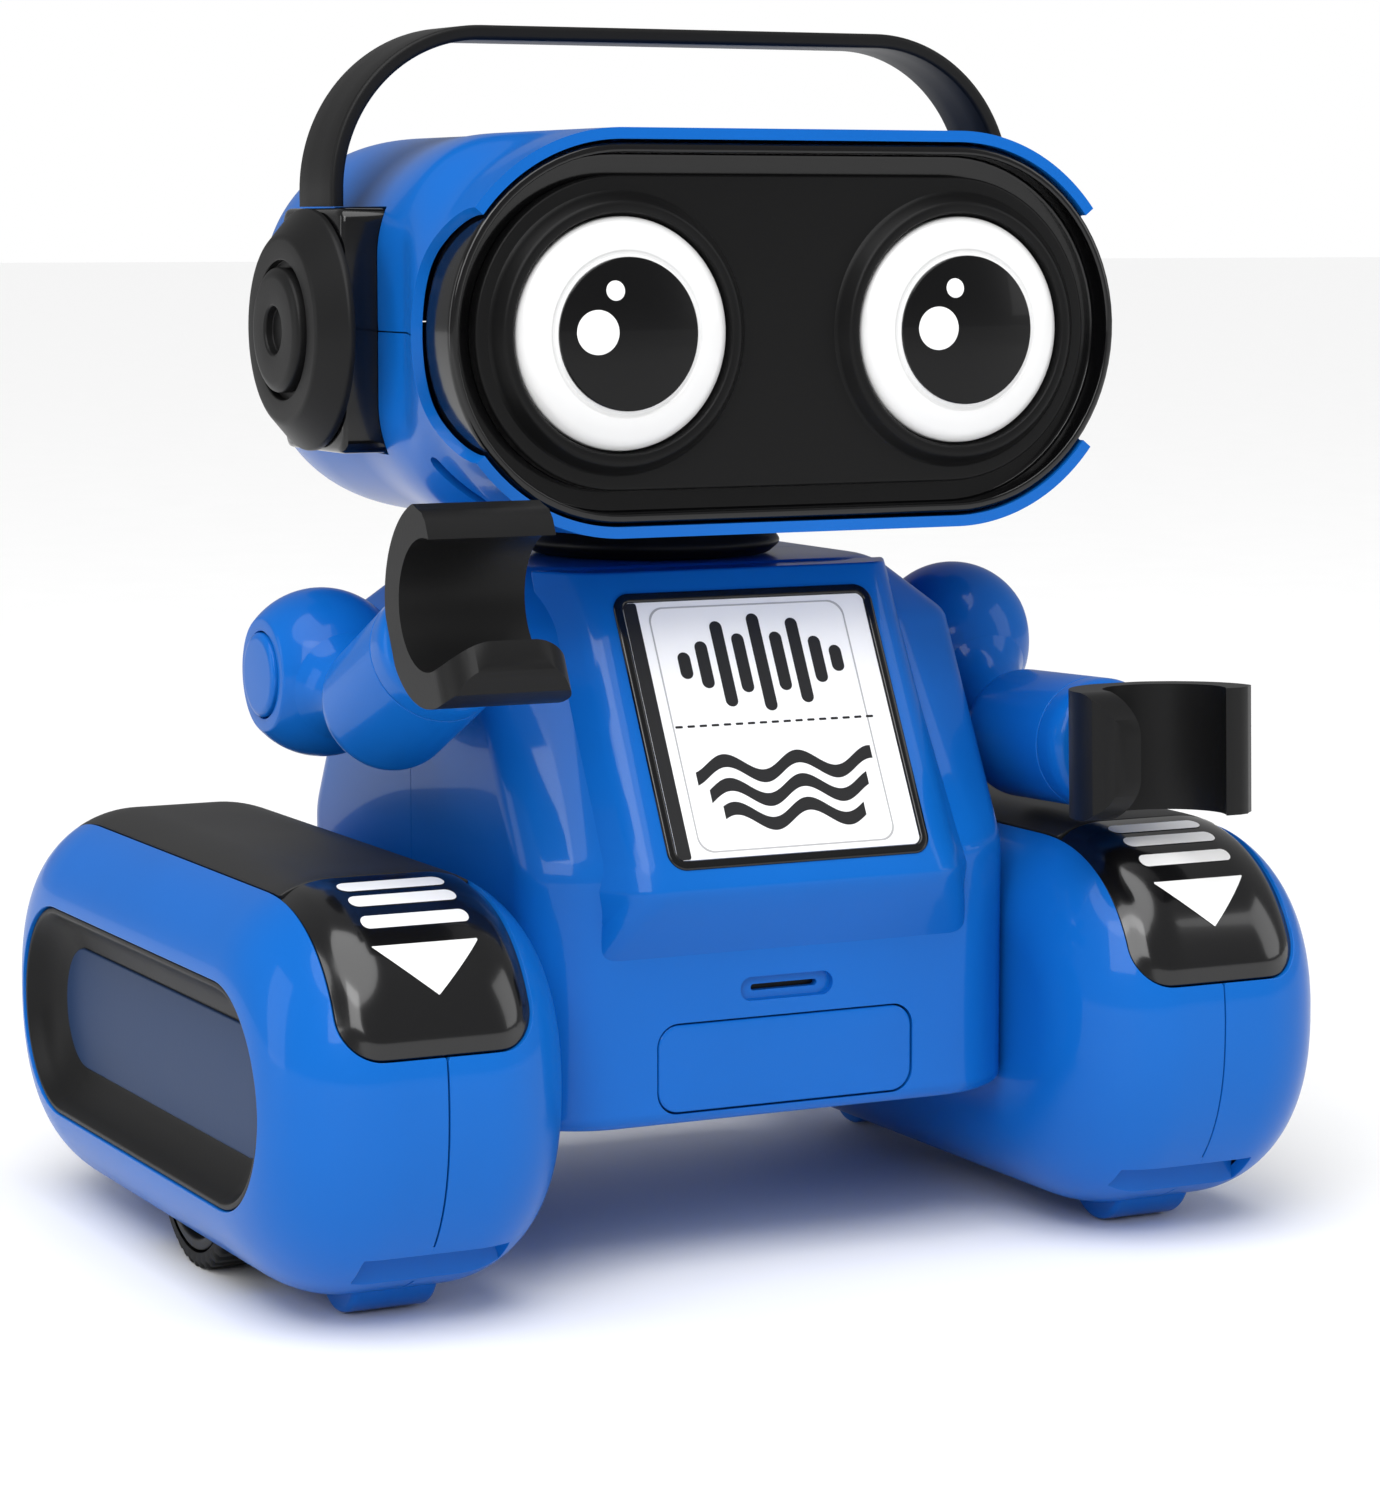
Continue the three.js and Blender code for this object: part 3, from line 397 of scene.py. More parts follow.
def head_outline(t, y):
    """Head section at depth y; t runs 0-4 round it from the lower right."""
    t = np.mod(t, 4.0)
    side = np.where(t < 2, 1.0, -1.0)
    k = np.mod(t, 2.0)
    end = np.clip(k, 0, 1)
    run = np.clip(k - 1, 0, 1)
    # The face: a stadium.
    a = np.pi * (end - 0.5)
    su, sv = FACE_STRAIGHT + FACE_RADIUS * np.cos(a), FACE_RADIUS * np.sin(a)
    su = np.where(k > 1, FACE_STRAIGHT * (1 - 2 * run), su)
    # The rest: a rounded rectangle that shrinks towards the rear.
    low_end, flat, high_start = 0.444, 0.112, 0.556
    corner = 20 + 7 * ease((y + 32) / 32)
    back = np.clip((y - 20) / 28, 0, 1)
    shrink = 5.5 * (1 - np.sqrt(np.maximum(0, 1 - back ** 2)))
    half_w, half_h = 65 - shrink, 35.2 - 0.64 * shrink
    lower = np.clip(end / low_end, 0, 1) * np.pi / 2
    upper = np.clip((end - high_start) / low_end, 0, 1) * np.pi / 2
    between = np.clip((end - low_end) / flat, 0, 1)
    ru = half_w - corner + corner * np.where(end < 0.5, np.sin(lower), np.cos(upper))
    rv_low = -half_h + corner - corner * np.cos(lower)
    rv_high = half_h - corner + corner * np.sin(upper)
    rv_mid = (-half_h + corner) + 2 * (half_h - corner) * between
    rv = np.where(end <= low_end, rv_low, np.where(end >= high_start, rv_high, rv_mid))
    ru = np.where(k > 1, (half_w - corner) * (1 - 2 * run), ru)
    rv = np.where(k > 1, half_h, rv)
    w = ease((y + 48.5) / 17)
    return side * (su * (1 - w) + ru * w), side * (sv * (1 - w) + rv * w)


def head_surface(t, v):
    """v is the depth, and past the back it runs to the middle of the rear face."""
    y = np.minimum(v, HEAD_BACK)
    scale = 1 - np.clip((v - HEAD_BACK) / 40.0, 0, 1)
    u, w = head_outline(t, y)
    return np.stack([u * scale, y + 0 * u, HEAD_Z + w * scale], axis=-1)


def head_zone(p, above):
    """Distance inside the upper or lower casing, clear of the face ends, ears, neck and cheeks."""
    x, y, z = p[..., 0], p[..., 1], p[..., 2]
    d = (z - HEAD_Z - SEAM) if above else (HEAD_Z - SEAM - z)
    ends = round_box_in(y + 66.0, z - HEAD_Z, 20.0, 21.9, 11.0)
    ends = np.minimum(ends, np.abs(x) - 40)
    ear = np.minimum(15.0 - np.abs(y - EAR_Y), 22.2 - np.abs(z - HEAD_Z))
    d = np.minimum(d, -smax(ends, ear, 0.01))
    if not above:
        neck = 12.3 - np.hypot(x, y - NECK_BASE[1])
        d = np.minimum(d, -np.minimum(neck, HEAD_Z - 30 - z))
        d = np.minimum(d, -cheek_in(p, 1.5))
    return d


def cheek_in(p, r):
    """Distance inside the short slanting slot on each lower cheek."""
    q = np.stack([np.abs(p[..., 0]), p[..., 1], p[..., 2]], axis=-1) - CHEEK_SLOT
    k = np.clip(q @ CHEEK_RUN / (CHEEK_RUN @ CHEEK_RUN), 0, 1)
    return r - np.linalg.norm(q - k[..., None] * CHEEK_RUN, axis=-1)


def make_head_casings():
    half = np.concatenate([np.linspace(0, 1, 120, endpoint=False), np.linspace(1, 2, 34, endpoint=False)])
    ts = np.concatenate([half, half + 2])
    depth = np.concatenate([np.linspace(-57.5, -20, 54), np.linspace(-19.2, 20, 50),
                            np.linspace(20.6, 40, 22), HEAD_BACK - 8 * np.linspace(0.97, 0, 16) ** 2,
                            np.linspace(48.8, 88, 14)])
    for name, stands_for, above in (("head_upper_casing", "head_upper_shell", True),
                                    ("head_lower_casing", "head_lower_shell", False)):
        shape = panel(head_surface, ts, depth, lambda p: head_zone(p, above))
        finish_mesh(name, *shape, BLUE, "head", "blue_shell", stands_for, wall=2.0, bevel=0.55, flip=True,
                    sharp=50)

    def deeper(t, v):
        q = head_surface(t, v) - np.array([0, 0, HEAD_Z])
        return q * np.array([0.968, 1, 0.945]) + np.array([0, 0.6, HEAD_Z])

    shape = panel(deeper, ts, np.linspace(-50, -30, 40),
                  lambda p: np.minimum(cheek_in(p, 5.0), HEAD_Z - p[..., 2]))
    finish_mesh("cheek_pockets", *shape, BLUE, "head", "blue_shell", flip=True, wall=0.6)


def pupil_depth(r):
    """Depth of the pupil's shallow dome at radius r."""
    return -61.4 + 1.25 * (r / 13.4) ** 2


def make_face():
    outline = lambda r: stadium_ring(FACE_STRAIGHT, r, HEAD_Z)
    surround = fillet_profile([(33.2, -47), (33.2, -57.4), (31.5, -57.5), (31.4, -52.6), (26, -52.4),
                               (26, -50), (31, -48), (33.1, -47)], [1.2, 0.5, 0.6, 0.2, 0.2, 0.2], 6)
    finish_mesh("face_surround", *framed(outline, surround[:-1], loop=True), GLOSS_BLACK, "head",
                "black_gloss", "face_bezel")
    plate = fillet_profile([(1, -53), (27.6, -52.6), (27.6, -55.5), (2, -55.5)], [0.2, 0.7], 6)
    finish_mesh("face_panel", *framed(outline, plate), FACE_BLACK, "head", "black_satin", "face_plate")

    rim = fillet_profile([(25.4, -55.2), (24.6, -55.8), (22.9, -58.3), (21.2, -58.2), (20.8, -56.5),
                          (20.8, -54.5)], [0.5, 0.7, 0.5, 0.4], 6)
    white = fillet_profile([(20.45, -50.5), (20.45, -57.0), (19.2, -58.2), (16.6, -59.1), (14.7, -59.45),
                            (14.35, -59.2), (13.9, -59.2), (13.6, -59.55), (0, -59.6)],
                           [0.4, 0.9, 1.2, 0.15, 0.1, 0.1, 0.2], 5)
    black = [(0.01, -59.3), (13.4, -59.3), (13.4, -60.0)]
    black += [(r, pupil_depth(r)) for r in np.linspace(13.25, 0, 30)]
    for side, x in (("left", EYE_X), ("right", -EYE_X)):
        for name, profile, material, slot, stands_for in (
                ("_eye_rim", rim, FACE_BLACK, "black_satin", "face_plate"),
                ("_eye_ring", white, WHITE, "white_gloss", side + "_eye_white"),
                ("_pupil_dome", black, PUPIL, "black_gloss", side + "_pupil")):
            shape = turned(profile, 128, "y", (x, 0, HEAD_Z))
            finish_mesh(side + name, *shape, material, "head", slot, stands_for)
        a = np.linspace(0, 2 * np.pi, 64, endpoint=False)
        for k, (r, du, dv) in enumerate(((3.9, -6.5, 0.4), (1.75, -3.1, 7.6))):
            rings = []
            for size, lift in ((1.0, -0.1), (1.0, 0.05), (0.97, 0.08), (0.6, 0.08), (0.02, 0.08)):
                u, v = du + r * size * np.cos(a), dv + r * size * np.sin(a)
                rings.append(np.c_[x + u, pupil_depth(np.hypot(u, v)) - lift, HEAD_Z + v])
            finish_mesh(f"{side}_pupil_glint_{k + 1}", *loft(rings), MARK_WHITE, "head", "white_gloss")


def make_headphones():
    block = lambda off: rrect(14.7 - off, 21.9 - off, 2.5, centre=(EAR_Y, HEAD_Z))
    rings = [facing_side(block(o), x) for x, o in ((60, 0), (70.7, 0), (71.35, 0.25), (71.7, 0.9))]
    pair("ear_bracket", loft(rings), GLOSS_BLACK, "black_gloss", ("head", "head"), "ear_block", sharp=50)
    ear = (0, EAR_Y, HEAD_Z)
    cup = fillet_profile([(0.01, 72), (21.9, 72), (21.9, 73.1), (16.9, 77.8), (12.6, 77.8), (12.6, 76.3),
                          (0, 76.3)], [0.2, 0.5, 0.7, 0.3, 0.2], 6)
    pair("ear_cushion", turned(cup, 128, "x", ear), SATIN_BLACK, "black_satin", ("head", "head"), "ear_cup")
    cap = fillet_profile([(0.01, 76.6), (11.3, 76.6), (11.3, 78.6), (10.1, 79.4), (4.6, 79.4), (4.3, 79.0),
                          (4.3, 77.6), (0, 77.6)], [0.1, 0.5, 0.8, 0.2, 0.2, 0.3], 5)
    pair("ear_button", turned(cap, 96, "x", ear), SATIN_BLACK, "black_satin", ("head", "head"), "ear_cap")

    half, bend, bend_x, bend_z = 1.35, 30, 41, 196.2
    path = [(bend_x + bend, 193.4)]
    path += [(bend_x + bend * math.cos(a), bend_z + bend * math.sin(a))
             for a in np.linspace(0, math.pi / 2, 40)]
    path += [(x, bend_z + bend) for x in np.linspace(38, 0, 10)]
    path += [(-x, z) for x, z in path[-2::-1]]
    section = rrect(8, half, 0.8, arc=5, horizontal=2, vertical=1)
    rings = []
    for i, (x, z) in enumerate(path):
        before, after = path[max(i - 1, 0)], path[min(i + 1, len(path) - 1)]
        t = np.array([after[0] - before[0], after[1] - before[1]], float)
        t /= np.linalg.norm(t)
        n = np.array([t[1], -t[0]])
        rings.append([(x - n[0] * (half - v), EAR_Y + u, z - n[1] * (half - v)) for u, v in section])
    finish_mesh("headphone_band", *loft(rings), SATIN_BLACK, "head", "black_satin", "headband")


make_head_casings()
make_face()
make_headphones()


# ------------------------------------------------------------------ torso
def temporary(points, faces):
    """A closed shape as an object, for carving only."""
    mesh = bpy.data.meshes.new("cutter")
    mesh.from_pydata(place(points).tolist(), [], [list(f) for f in faces])
    return add_object("cutter", mesh)


def oriented(points, faces):
    """The same closed shape with its faces pointing outwards."""
    p = np.asarray(points)
    total = 0.0
    for f in faces:
        for i in range(1, len(f) - 1):
            total += np.dot(p[f[0]], np.cross(p[f[i]], p[f[i + 1]]))
    return (points, faces) if total > 0 else (points, [list(f)[::-1] for f in faces])


def carved(shape, cuts, operation="DIFFERENCE"):
    """Cuts closed shapes out of a closed shape, or keeps what they share."""
    base = temporary(*oriented(*shape))
    cutters = [temporary(*oriented(*c)) for c in cuts]
    for cutter in cutters:
        mod = base.modifiers.new("cut", "BOOLEAN")
        mod.operation = operation
        mod.solver = "EXACT"
        mod.object = cutter
    graph = bpy.context.evaluated_depsgraph_get()
    mesh = base.evaluated_get(graph).to_mesh()
    points = np.array([v.co for v in mesh.vertices]) * MM_PER_M - np.array([0, FOOTPRINT_Y, 0])
    faces = [list(f.vertices) for f in mesh.polygons]
    for obj in [base] + cutters:
        bpy.data.objects.remove(obj)
    return points, faces


def prism_y(uv, y0, y1):
    return loft([facing_front(uv, y) for y in (y0, y1)])


def prism_x(uv, x0, x1):
    return loft([facing_side(uv, x) for x in (x0, x1)])


def prism_z(uv, z0, z1):
    uv = np.asarray(uv)
    return loft([np.c_[uv, np.full(len(uv), z)] for z in (z0, z1)])


def rounded_in(r, past):
    """How far an edge of radius r has come in, at this distance past its start."""
    return r - math.sqrt(max(0.0, r * r - past ** 2)) if past > 0 else 0.0


def torso_half(front):
    """The front or rear half of the body as one closed shape, from its floor up to the neck."""
    rings = []
    zs = np.concatenate([28.5 + 3 * np.linspace(0, 1, 8) ** 1.5, np.linspace(32, 70, 14),
                         np.linspace(71, 81, 12), np.linspace(83, 114, 14), np.linspace(115, 119, 8),
                         np.linspace(119.6, 125, 8),
                         127.8 - 2.4 * (1 - np.sin(np.linspace(0.1, math.pi / 2, 10)))])
    for z in zs:
        lean = smax(0.0, (z - CHEST_Z) * CHEST_SLOPE, 1.2)
        up = smax(0.0, (z - 117) / 10.8, 0.12)
        edge = rounded_in(3, 31.5 - z) + rounded_in(2.4, z - 125.4)
        side, face_y = 49.9 - up * 12.5 - edge, TORSO_DEPTH - lean - edge
        flank, face_w = 51.3 - lean - up * 2 - edge, 40.1 - lean / 27 * 8 - up * 4 - edge
        path = fillet_profile([(side, -0.08), (side, -flank), (face_w, -face_y), (-face_w, -face_y),
                               (-side, -flank), (-side, -0.08)], [5, 4.5, 4.5, 5], 9)
        ring = np.array(path) * np.array([1, 1 if front else -1])
        rings.append(np.c_[ring[:, 0], ring[:, 1] + TORSO_Y, np.full(len(ring), z)])
    return loft(rings)


def make_torso_casings():
    hatch = rrect(26.35, 8.35, 4.3, centre=(0, HATCH_Z))
    catch_z = 52.5
    cuts = [prism_y(hatch, WALL_Y - 2, WALL_Y + 3),
            prism_y(stadium_ring(7.3, 2.2, catch_z), WALL_Y - 2, WALL_Y + 1.3),
            prism_y(stadium_ring(6.2, 0.6, catch_z), WALL_Y - 2, WALL_Y + 5)]
    finish_mesh("torso_front_casing", *carved(torso_half(True), cuts), BLUE, "chassis", "blue_shell",
                "torso_front_shell", bevel=0.25, sharp=30, bevel_angle=50)
    plate = fillet_profile([(0.5, WALL_Y + 2.5), (26, WALL_Y + 2.5), (26, WALL_Y + 0.05),
                            (0.5, WALL_Y + 0.05)], [0.2, 0.4], 4)
    shape = framed(lambda o: rrect(o, max(o - 18, 0.4), 4, centre=(0, HATCH_Z)), plate)
    finish_mesh("front_hatch_door", *shape, BLUE, "chassis", "blue_shell", "front_hatch")

    back = TORSO_Y + TORSO_DEPTH
    vents = [prism_y(stadium_ring(10, 1, z), back - 3, back + 2) for z in (47, 52, 57, 62)]
    vents.append(prism_y(rrect(6.3, 2.8, 0.8, centre=(26, 44)), back - 3, back + 2))
    finish_mesh("torso_rear_casing", *carved(torso_half(False), vents), BLUE, "chassis", "blue_shell",
                "torso_rear_shell", bevel=0.35, sharp=30, bevel_angle=50)

    spine = fillet_profile([(WALL_Y + 1.2, 57.6), (WALL_Y + 0.2, 59.4), (WALL_Y - 7.9, 71.6),
                            (WALL_Y - 7.1, 74.4), (WALL_Y - 6.3 + 51.6 * CHEST_SLOPE, 127.4)],
                           [1.5, 5.5, 3.2], 12)
    rings = []
    for y, z in spine:
        low = ease((74.0 - z) / 14.0)
        front, rear = 31 + 7.5 * low, 40.2 - 3.2 * np.clip((z - 76) / 50, 0, 1)
        outline = fillet_profile([(rear, y + 10.6), (front, y), (-front, y), (-rear, y + 10.6)],
                                 [4.6, 4.6], 14)
        rings.append([(u, v, z) for u, v in outline])
    finish_mesh("chest_panel", *oriented(*loft(rings)), BLUE, "chassis", "blue_shell",
                "torso_front_shell", bevel=0.5, sharp=35, bevel_angle=50)


def make_display():
    """Card, frame and a generic printed graphic, built upright and leant against the chest."""
    half_w, half_h = 26.7, 23.75 * math.hypot(1, CHEST_SLOPE)
    middle = 99.85
    turn = (Matrix.Translation((0, WALL_Y - 6.3 + (middle - CHEST_Z) * CHEST_SLOPE, middle))
            @ Matrix.Rotation(-math.atan(CHEST_SLOPE), 4, "X"))
    profile = fillet_profile([(0, 1.5), (0, -0.5), (1.7, -0.5), (2.0, 0.3), (2.0, 1.5), (0, 1.5)],
                             [0.6, 0.4, 0.2, 0.1], 6)
    shape = framed(lambda o: rrect(half_w - o, half_h - o, 3.5 - min(o, 2.7)), profile[:-1], loop=True)
    finish_mesh("display_frame", *shape, GLOSS_BLACK, "chassis", "black_gloss", "chest_frame", turn=turn)
    sheet = [(0, 0.9), (0, -0.08), (22, -0.1)]
    shape = framed(lambda o: rrect(half_w - 1.9 - o, half_h - 1.9 - o, 1.4), sheet)
    finish_mesh("display_card", *shape, PRINT_WHITE, "chassis", "display_white", "chest_display", turn=turn)
    line = [(0, -0.05), (0, -0.14), (0.3, -0.14), (0.3, -0.05)]
    shape = framed(lambda o: rrect(half_w - 6.6 - o, half_h - 3.0 - o, 3.0), line, loop=True)
    finish_mesh("display_outline", *shape, PRINT_GREY, "chassis", "display_white", turn=turn)

    ink = (-0.16, -0.05)

    def bar(half_width, height, r, arc, u, v):
        return prism_y(rrect(half_width, height, r, arc, 1, 1, (u, v)), *ink)

    marks = [bar(1.35, half_h - 2.0, 0.5, 4, -half_w + 3.3, 0)]
    marks += [bar(1.25, h, 1.2, 6, (k - 4) * 3.9 + 0.8, 12.2)
              for k, h in enumerate((2.6, 4.6, 8.4, 5.8, 9.6, 5.8, 8.4, 4.6, 2.6))]
    marks += [bar(0.75, 0.22, 0.2, 3, (k - 8) * 2.45 + 0.8, 0.4) for k in range(17)]
    for k in range(3):
        wave = [(u, -8.2 - 4.6 * k + 1.7 * math.sin(u * 0.42))
                for u in np.linspace(-17.5 + 2 * k, 19.0 - 2 * k, 80)]
        ribbon = [(u, v + 1.25) for u, v in wave] + [(u, v - 1.25) for u, v in wave[::-1]]
        marks.append(prism_y(ribbon, *ink))
    points, faces = [], []
    for p, f in marks:
        base = len(points)
        points.extend(p.tolist())
        faces.extend([[i + base for i in face] for face in f])
    finish_mesh("display_graphic", points, faces, PRINT_BLACK, "chassis", "black_satin", turn=turn)


def make_neck():
    collar = fillet_profile([(12.4, 0.3), (22.5, 0.3), (25, 2.4), (23, 5), (20, 7.2), (12.4, 7.2)],
                            [0.6, 1.2, 0.9, 0.9], 6)
    finish_mesh("neck_ring", *turned(collar, 96, "z", NECK_BASE), SATIN_BLACK, "chassis", "black_satin",
                "neck_collar")
    shaft = fillet_profile([(0.01, -8), (15, -8), (15, -2.7), (12, -2.7), (12, 10.4), (15, 10.5),
                            (15, 13), (0.01, 13)], [0.3] * 6, 4)
    finish_mesh("neck_post", *turned(shaft, 72, "z", NECK_BASE), SATIN_BLACK, "head", "black_satin",
                "neck_shaft")


make_torso_casings()
make_display()
make_neck()


# ------------------------------------------------------------------ arms
def arm_profiles():
    """Profiles of (radius, distance) for the shoulder ball and cap, elbow, forearm and wrist."""
    sphere = [(15.7 * math.sin(a), -15.7 * math.cos(a)) for a in np.linspace(0.325, math.pi - 0.73, 60)]
    ball = [(5, -22), (5, -15)] + sphere + [(10.2, 11.75), (8.2, 11.75), (8.1, 11.6), (8.1, 9.2), (0.01, 9.2)]
    cap = fillet_profile([(0.01, 9.6), (7.8, 9.6), (7.8, 12.3), (7.0, 12.8), (0.01, 12.8)],
                         [0.1, 0.3, 0.6], 5)
    stub = [(11.2, 10.6), (9.0, 13.4), (7.7, 15.8), (7.1, 18.5), (7.1, 23), (7.3, 33)]
    fore = fillet_profile([(0.01, 23), (8.4, 23), (11.3, 24.3), (12.4, 27), (12.4, 52.45), (5.3, 52.45)],
                          [0.8, 1.4, 1.4, 0.25], 8)
    collar = fillet_profile([(5, 50), (5, 52.65), (12.4, 52.65), (12.4, 57.2), (11.4, 59.2), (8.9, 60.2),
                             (0.01, 60.2)], [0.1, 0.25, 1.4, 1.1, 1.1], 7)
    return ball, cap, stub, fore, collar


def gripper():
    """The hooked hand: a thick ring with a gap, from a block that is rounded towards its tips."""
    half, outer, inner, bend = 11.75, 17.5, 11.3, 8
    seat = -60.5
    mid = seat - outer + 0.6
    tip = mid - 6.5
    gap = math.degrees(math.asin(6.5 / inner))
    arc = lambda r, a0, a1, n: [(r * math.cos(math.radians(a)), mid + r * math.sin(math.radians(a)))
                                for a in np.linspace(a0, a1, n)]
    claw = [(12.4, tip), (14.4, tip + 0.7), (15.8, tip + 2.3)] + arc(outer, -9, 189, 80)
    claw += [(-15.8, tip + 2.3), (-14.4, tip + 0.7), (-12.4, tip)] + arc(inner, 180 + gap, -gap, 64)
    corner = [(seat, -half), (seat, half)]
    quarter = np.linspace(0, math.pi / 2, 20)
    corner += [(tip + bend - bend * math.sin(a), half - bend + bend * math.cos(a)) for a in quarter]
    corner += [(tip + bend - bend * math.cos(a), bend - half - bend * math.sin(a)) for a in quarter]
    block = prism_z([(-0.01, tip - 1), (30, tip - 1), (30, seat), (-0.01, seat)], -half, half)
    blank = carved(prism_x(corner, -30, 0.02), [block], "UNION")
    return carved(prism_z(claw, -half, half), [blank], "INTERSECT")


def make_arms():
    """Each arm with its shoulder's lift and its wrist's twist at rest, in degrees."""
    ball, cap, stub, fore, collar = arm_profiles()
    claw = gripper()
    drop = (0, 0, -ARM_DROP)
    for side, sign, lift, twist in (("right", -1, 26.0, -90.0), ("left", 1, 2.0, 0.0)):
        arm, hand = side + "_arm", side + "_hand"
        turn = (Matrix.Translation((sign * BALL[0], BALL[1], BALL[2]))
                @ Matrix.Rotation(-math.radians(lift), 4, "X"))
        wrist = turn @ Matrix.Translation(drop) @ Matrix.Rotation(math.radians(twist), 4, "Y")
        for name, profile, segments, stands_for in (("_shoulder", ball, 96, "_shoulder_ball"),
                                                    ("_shoulder_plug", cap, 72, "_shoulder_cap")):
            shape = turned(profile, segments, "x")
            finish_mesh(side + name, *(shape if sign > 0 else mirrored(*shape)), BLUE, arm, "blue_shell",
                        side + stands_for, turn=turn)
        elbow = turn @ Matrix.Rotation(math.atan2(ARM_DROP, 25.0), 4, "X")
        finish_mesh(side + "_elbow", *turned(stub, 72, "y", sign=-1), BLUE, arm, "blue_shell",
                    side + "_shoulder_ball", turn=elbow, flip=True)
        finish_mesh(side + "_forearm_tube", *turned(fore, 96, "y", drop, -1), BLUE, arm, "blue_shell",
                    side + "_forearm", turn=turn, flip=True)
        finish_mesh(side + "_wrist_ring", *turned(collar, 96, "y", sign=-1), BLUE, hand, "blue_shell",
                    side + "_wrist_collar", turn=wrist, flip=True)
        finish_mesh(side + "_claw", *claw, SATIN_BLACK, hand, "black_satin", side + "_gripper",
                    turn=wrist, bevel=0.95, sharp=30, bevel_angle=35, segments=4)


make_arms()


# ------------------------------------------------------------------ pods
COVER_GAP = 0.3


def pod_surface(t, v):
    """t runs 0-4 round the outline; v runs 0-5 over the inner side, edge, middle, edge and outer side."""
    t = np.mod(t, 4.0)
    side = np.where(t < 2, 1.0, -1.0)
    k = np.mod(t, 2.0)
    x0, x1, r = POD_X - POD_HALF_WIDTH, POD_X + POD_HALF_WIDTH, POD_EDGE
    a = np.clip(v - 1, 0, 1) * np.pi / 2
    b = np.clip(v - 3, 0, 1) * np.pi / 2
    middle = x0 + r + 2 * (POD_HALF_WIDTH - r) * np.clip(v - 2, 0, 1)
    x = np.where(v < 2, x0 + r * (1 - np.cos(a)), np.where(v < 3, middle, x1 - r + r * np.sin(b)))
    reach = POD_RADIUS - 0.1 - r
    inset = np.where(v < 2, r * (1 - np.sin(a)), r * (1 - np.cos(b)))
    inset = inset + reach * (np.clip(1 - v, 0, 1) + np.clip(v - 4, 0, 1))
    h = POD_RADIUS - inset
    ang = np.pi * (np.clip(k, 0, 1) - 0.5)
    power = 2 / 2.3
    c = np.abs(np.cos(ang)) ** power
    s = np.sign(np.sin(ang)) * np.abs(np.sin(ang)) ** power
    run = np.clip(k - 1, 0, 1)
    y = np.where(k > 1, POD_STRAIGHT * (1 - 2 * run), POD_STRAIGHT + h * c)
    z = np.where(k > 1, h, h * s)
    return np.stack([x, side * y, POD_Z + side * z], axis=-1)


def pod_outwards(p):
    """Direction from the pod's centre line to each point."""
    centre = np.stack([p[..., 0], np.clip(p[..., 1], -44, 44), 0 * p[..., 2] + POD_Z], axis=-1)
    n = p - centre
    return n / np.linalg.norm(n, axis=-1, keepdims=True)


def lens_outline(p):
    """Distance inside the window's outline, seen from the front."""
    return round_box_in(p[..., 0] - POD_X, p[..., 2] - 91.0, 18.0, 40.0, 7.0)


def lens_in(p):
    return np.minimum(lens_outline(p), -50.15 - p[..., 1])


def cover_in(p):
    return box_in(p, (POD_X - 18, POD_X + 18), (-49.85, 90), (47, 200))


def notch_in(p):
    """Distance inside the recess at the bottom of each end."""
    front = box_in(p, (62.5, 90.5), (-90, -66), (-2, 15))
    return smax(front, box_in(p, (62.5, 90.5), (66, 90), (-2, 15)), 0.01)


def casing_in(p, outer):
    """Distance inside the outer or inner casing, clear of the cover, window, side recess and wheel."""
    x, y, z = p[..., 0], p[..., 1], p[..., 2]
    d = x - 78.35 if outer else 78.05 - x
    d = np.minimum(d, -COVER_GAP - cover_in(p))
    d = np.minimum(d, -COVER_GAP - lens_in(p))
    between = box_in(p, (60.2, 96.8), (-50.5, -49.5), (51, 200))
    d = np.minimum(d, -between)
    if outer:
        side_recess = np.minimum(stadium_in(y, z - 40, 44, 20.3), x - 98)
        wheel_well = box_in(p, (85.4, 98.4), (-28, 16), (-5, 31))
        d = np.minimum(d, -np.maximum(side_recess, wheel_well))
    return np.minimum(d, -notch_in(p))


def sunk(p):
    """Lowers the window's border, so that its middle stands proud."""
    edge = np.minimum(lens_outline(p), 60.0)
    return p - pod_outwards(p) * (0.75 * (1 - ease(edge / 3.6)))[..., None]


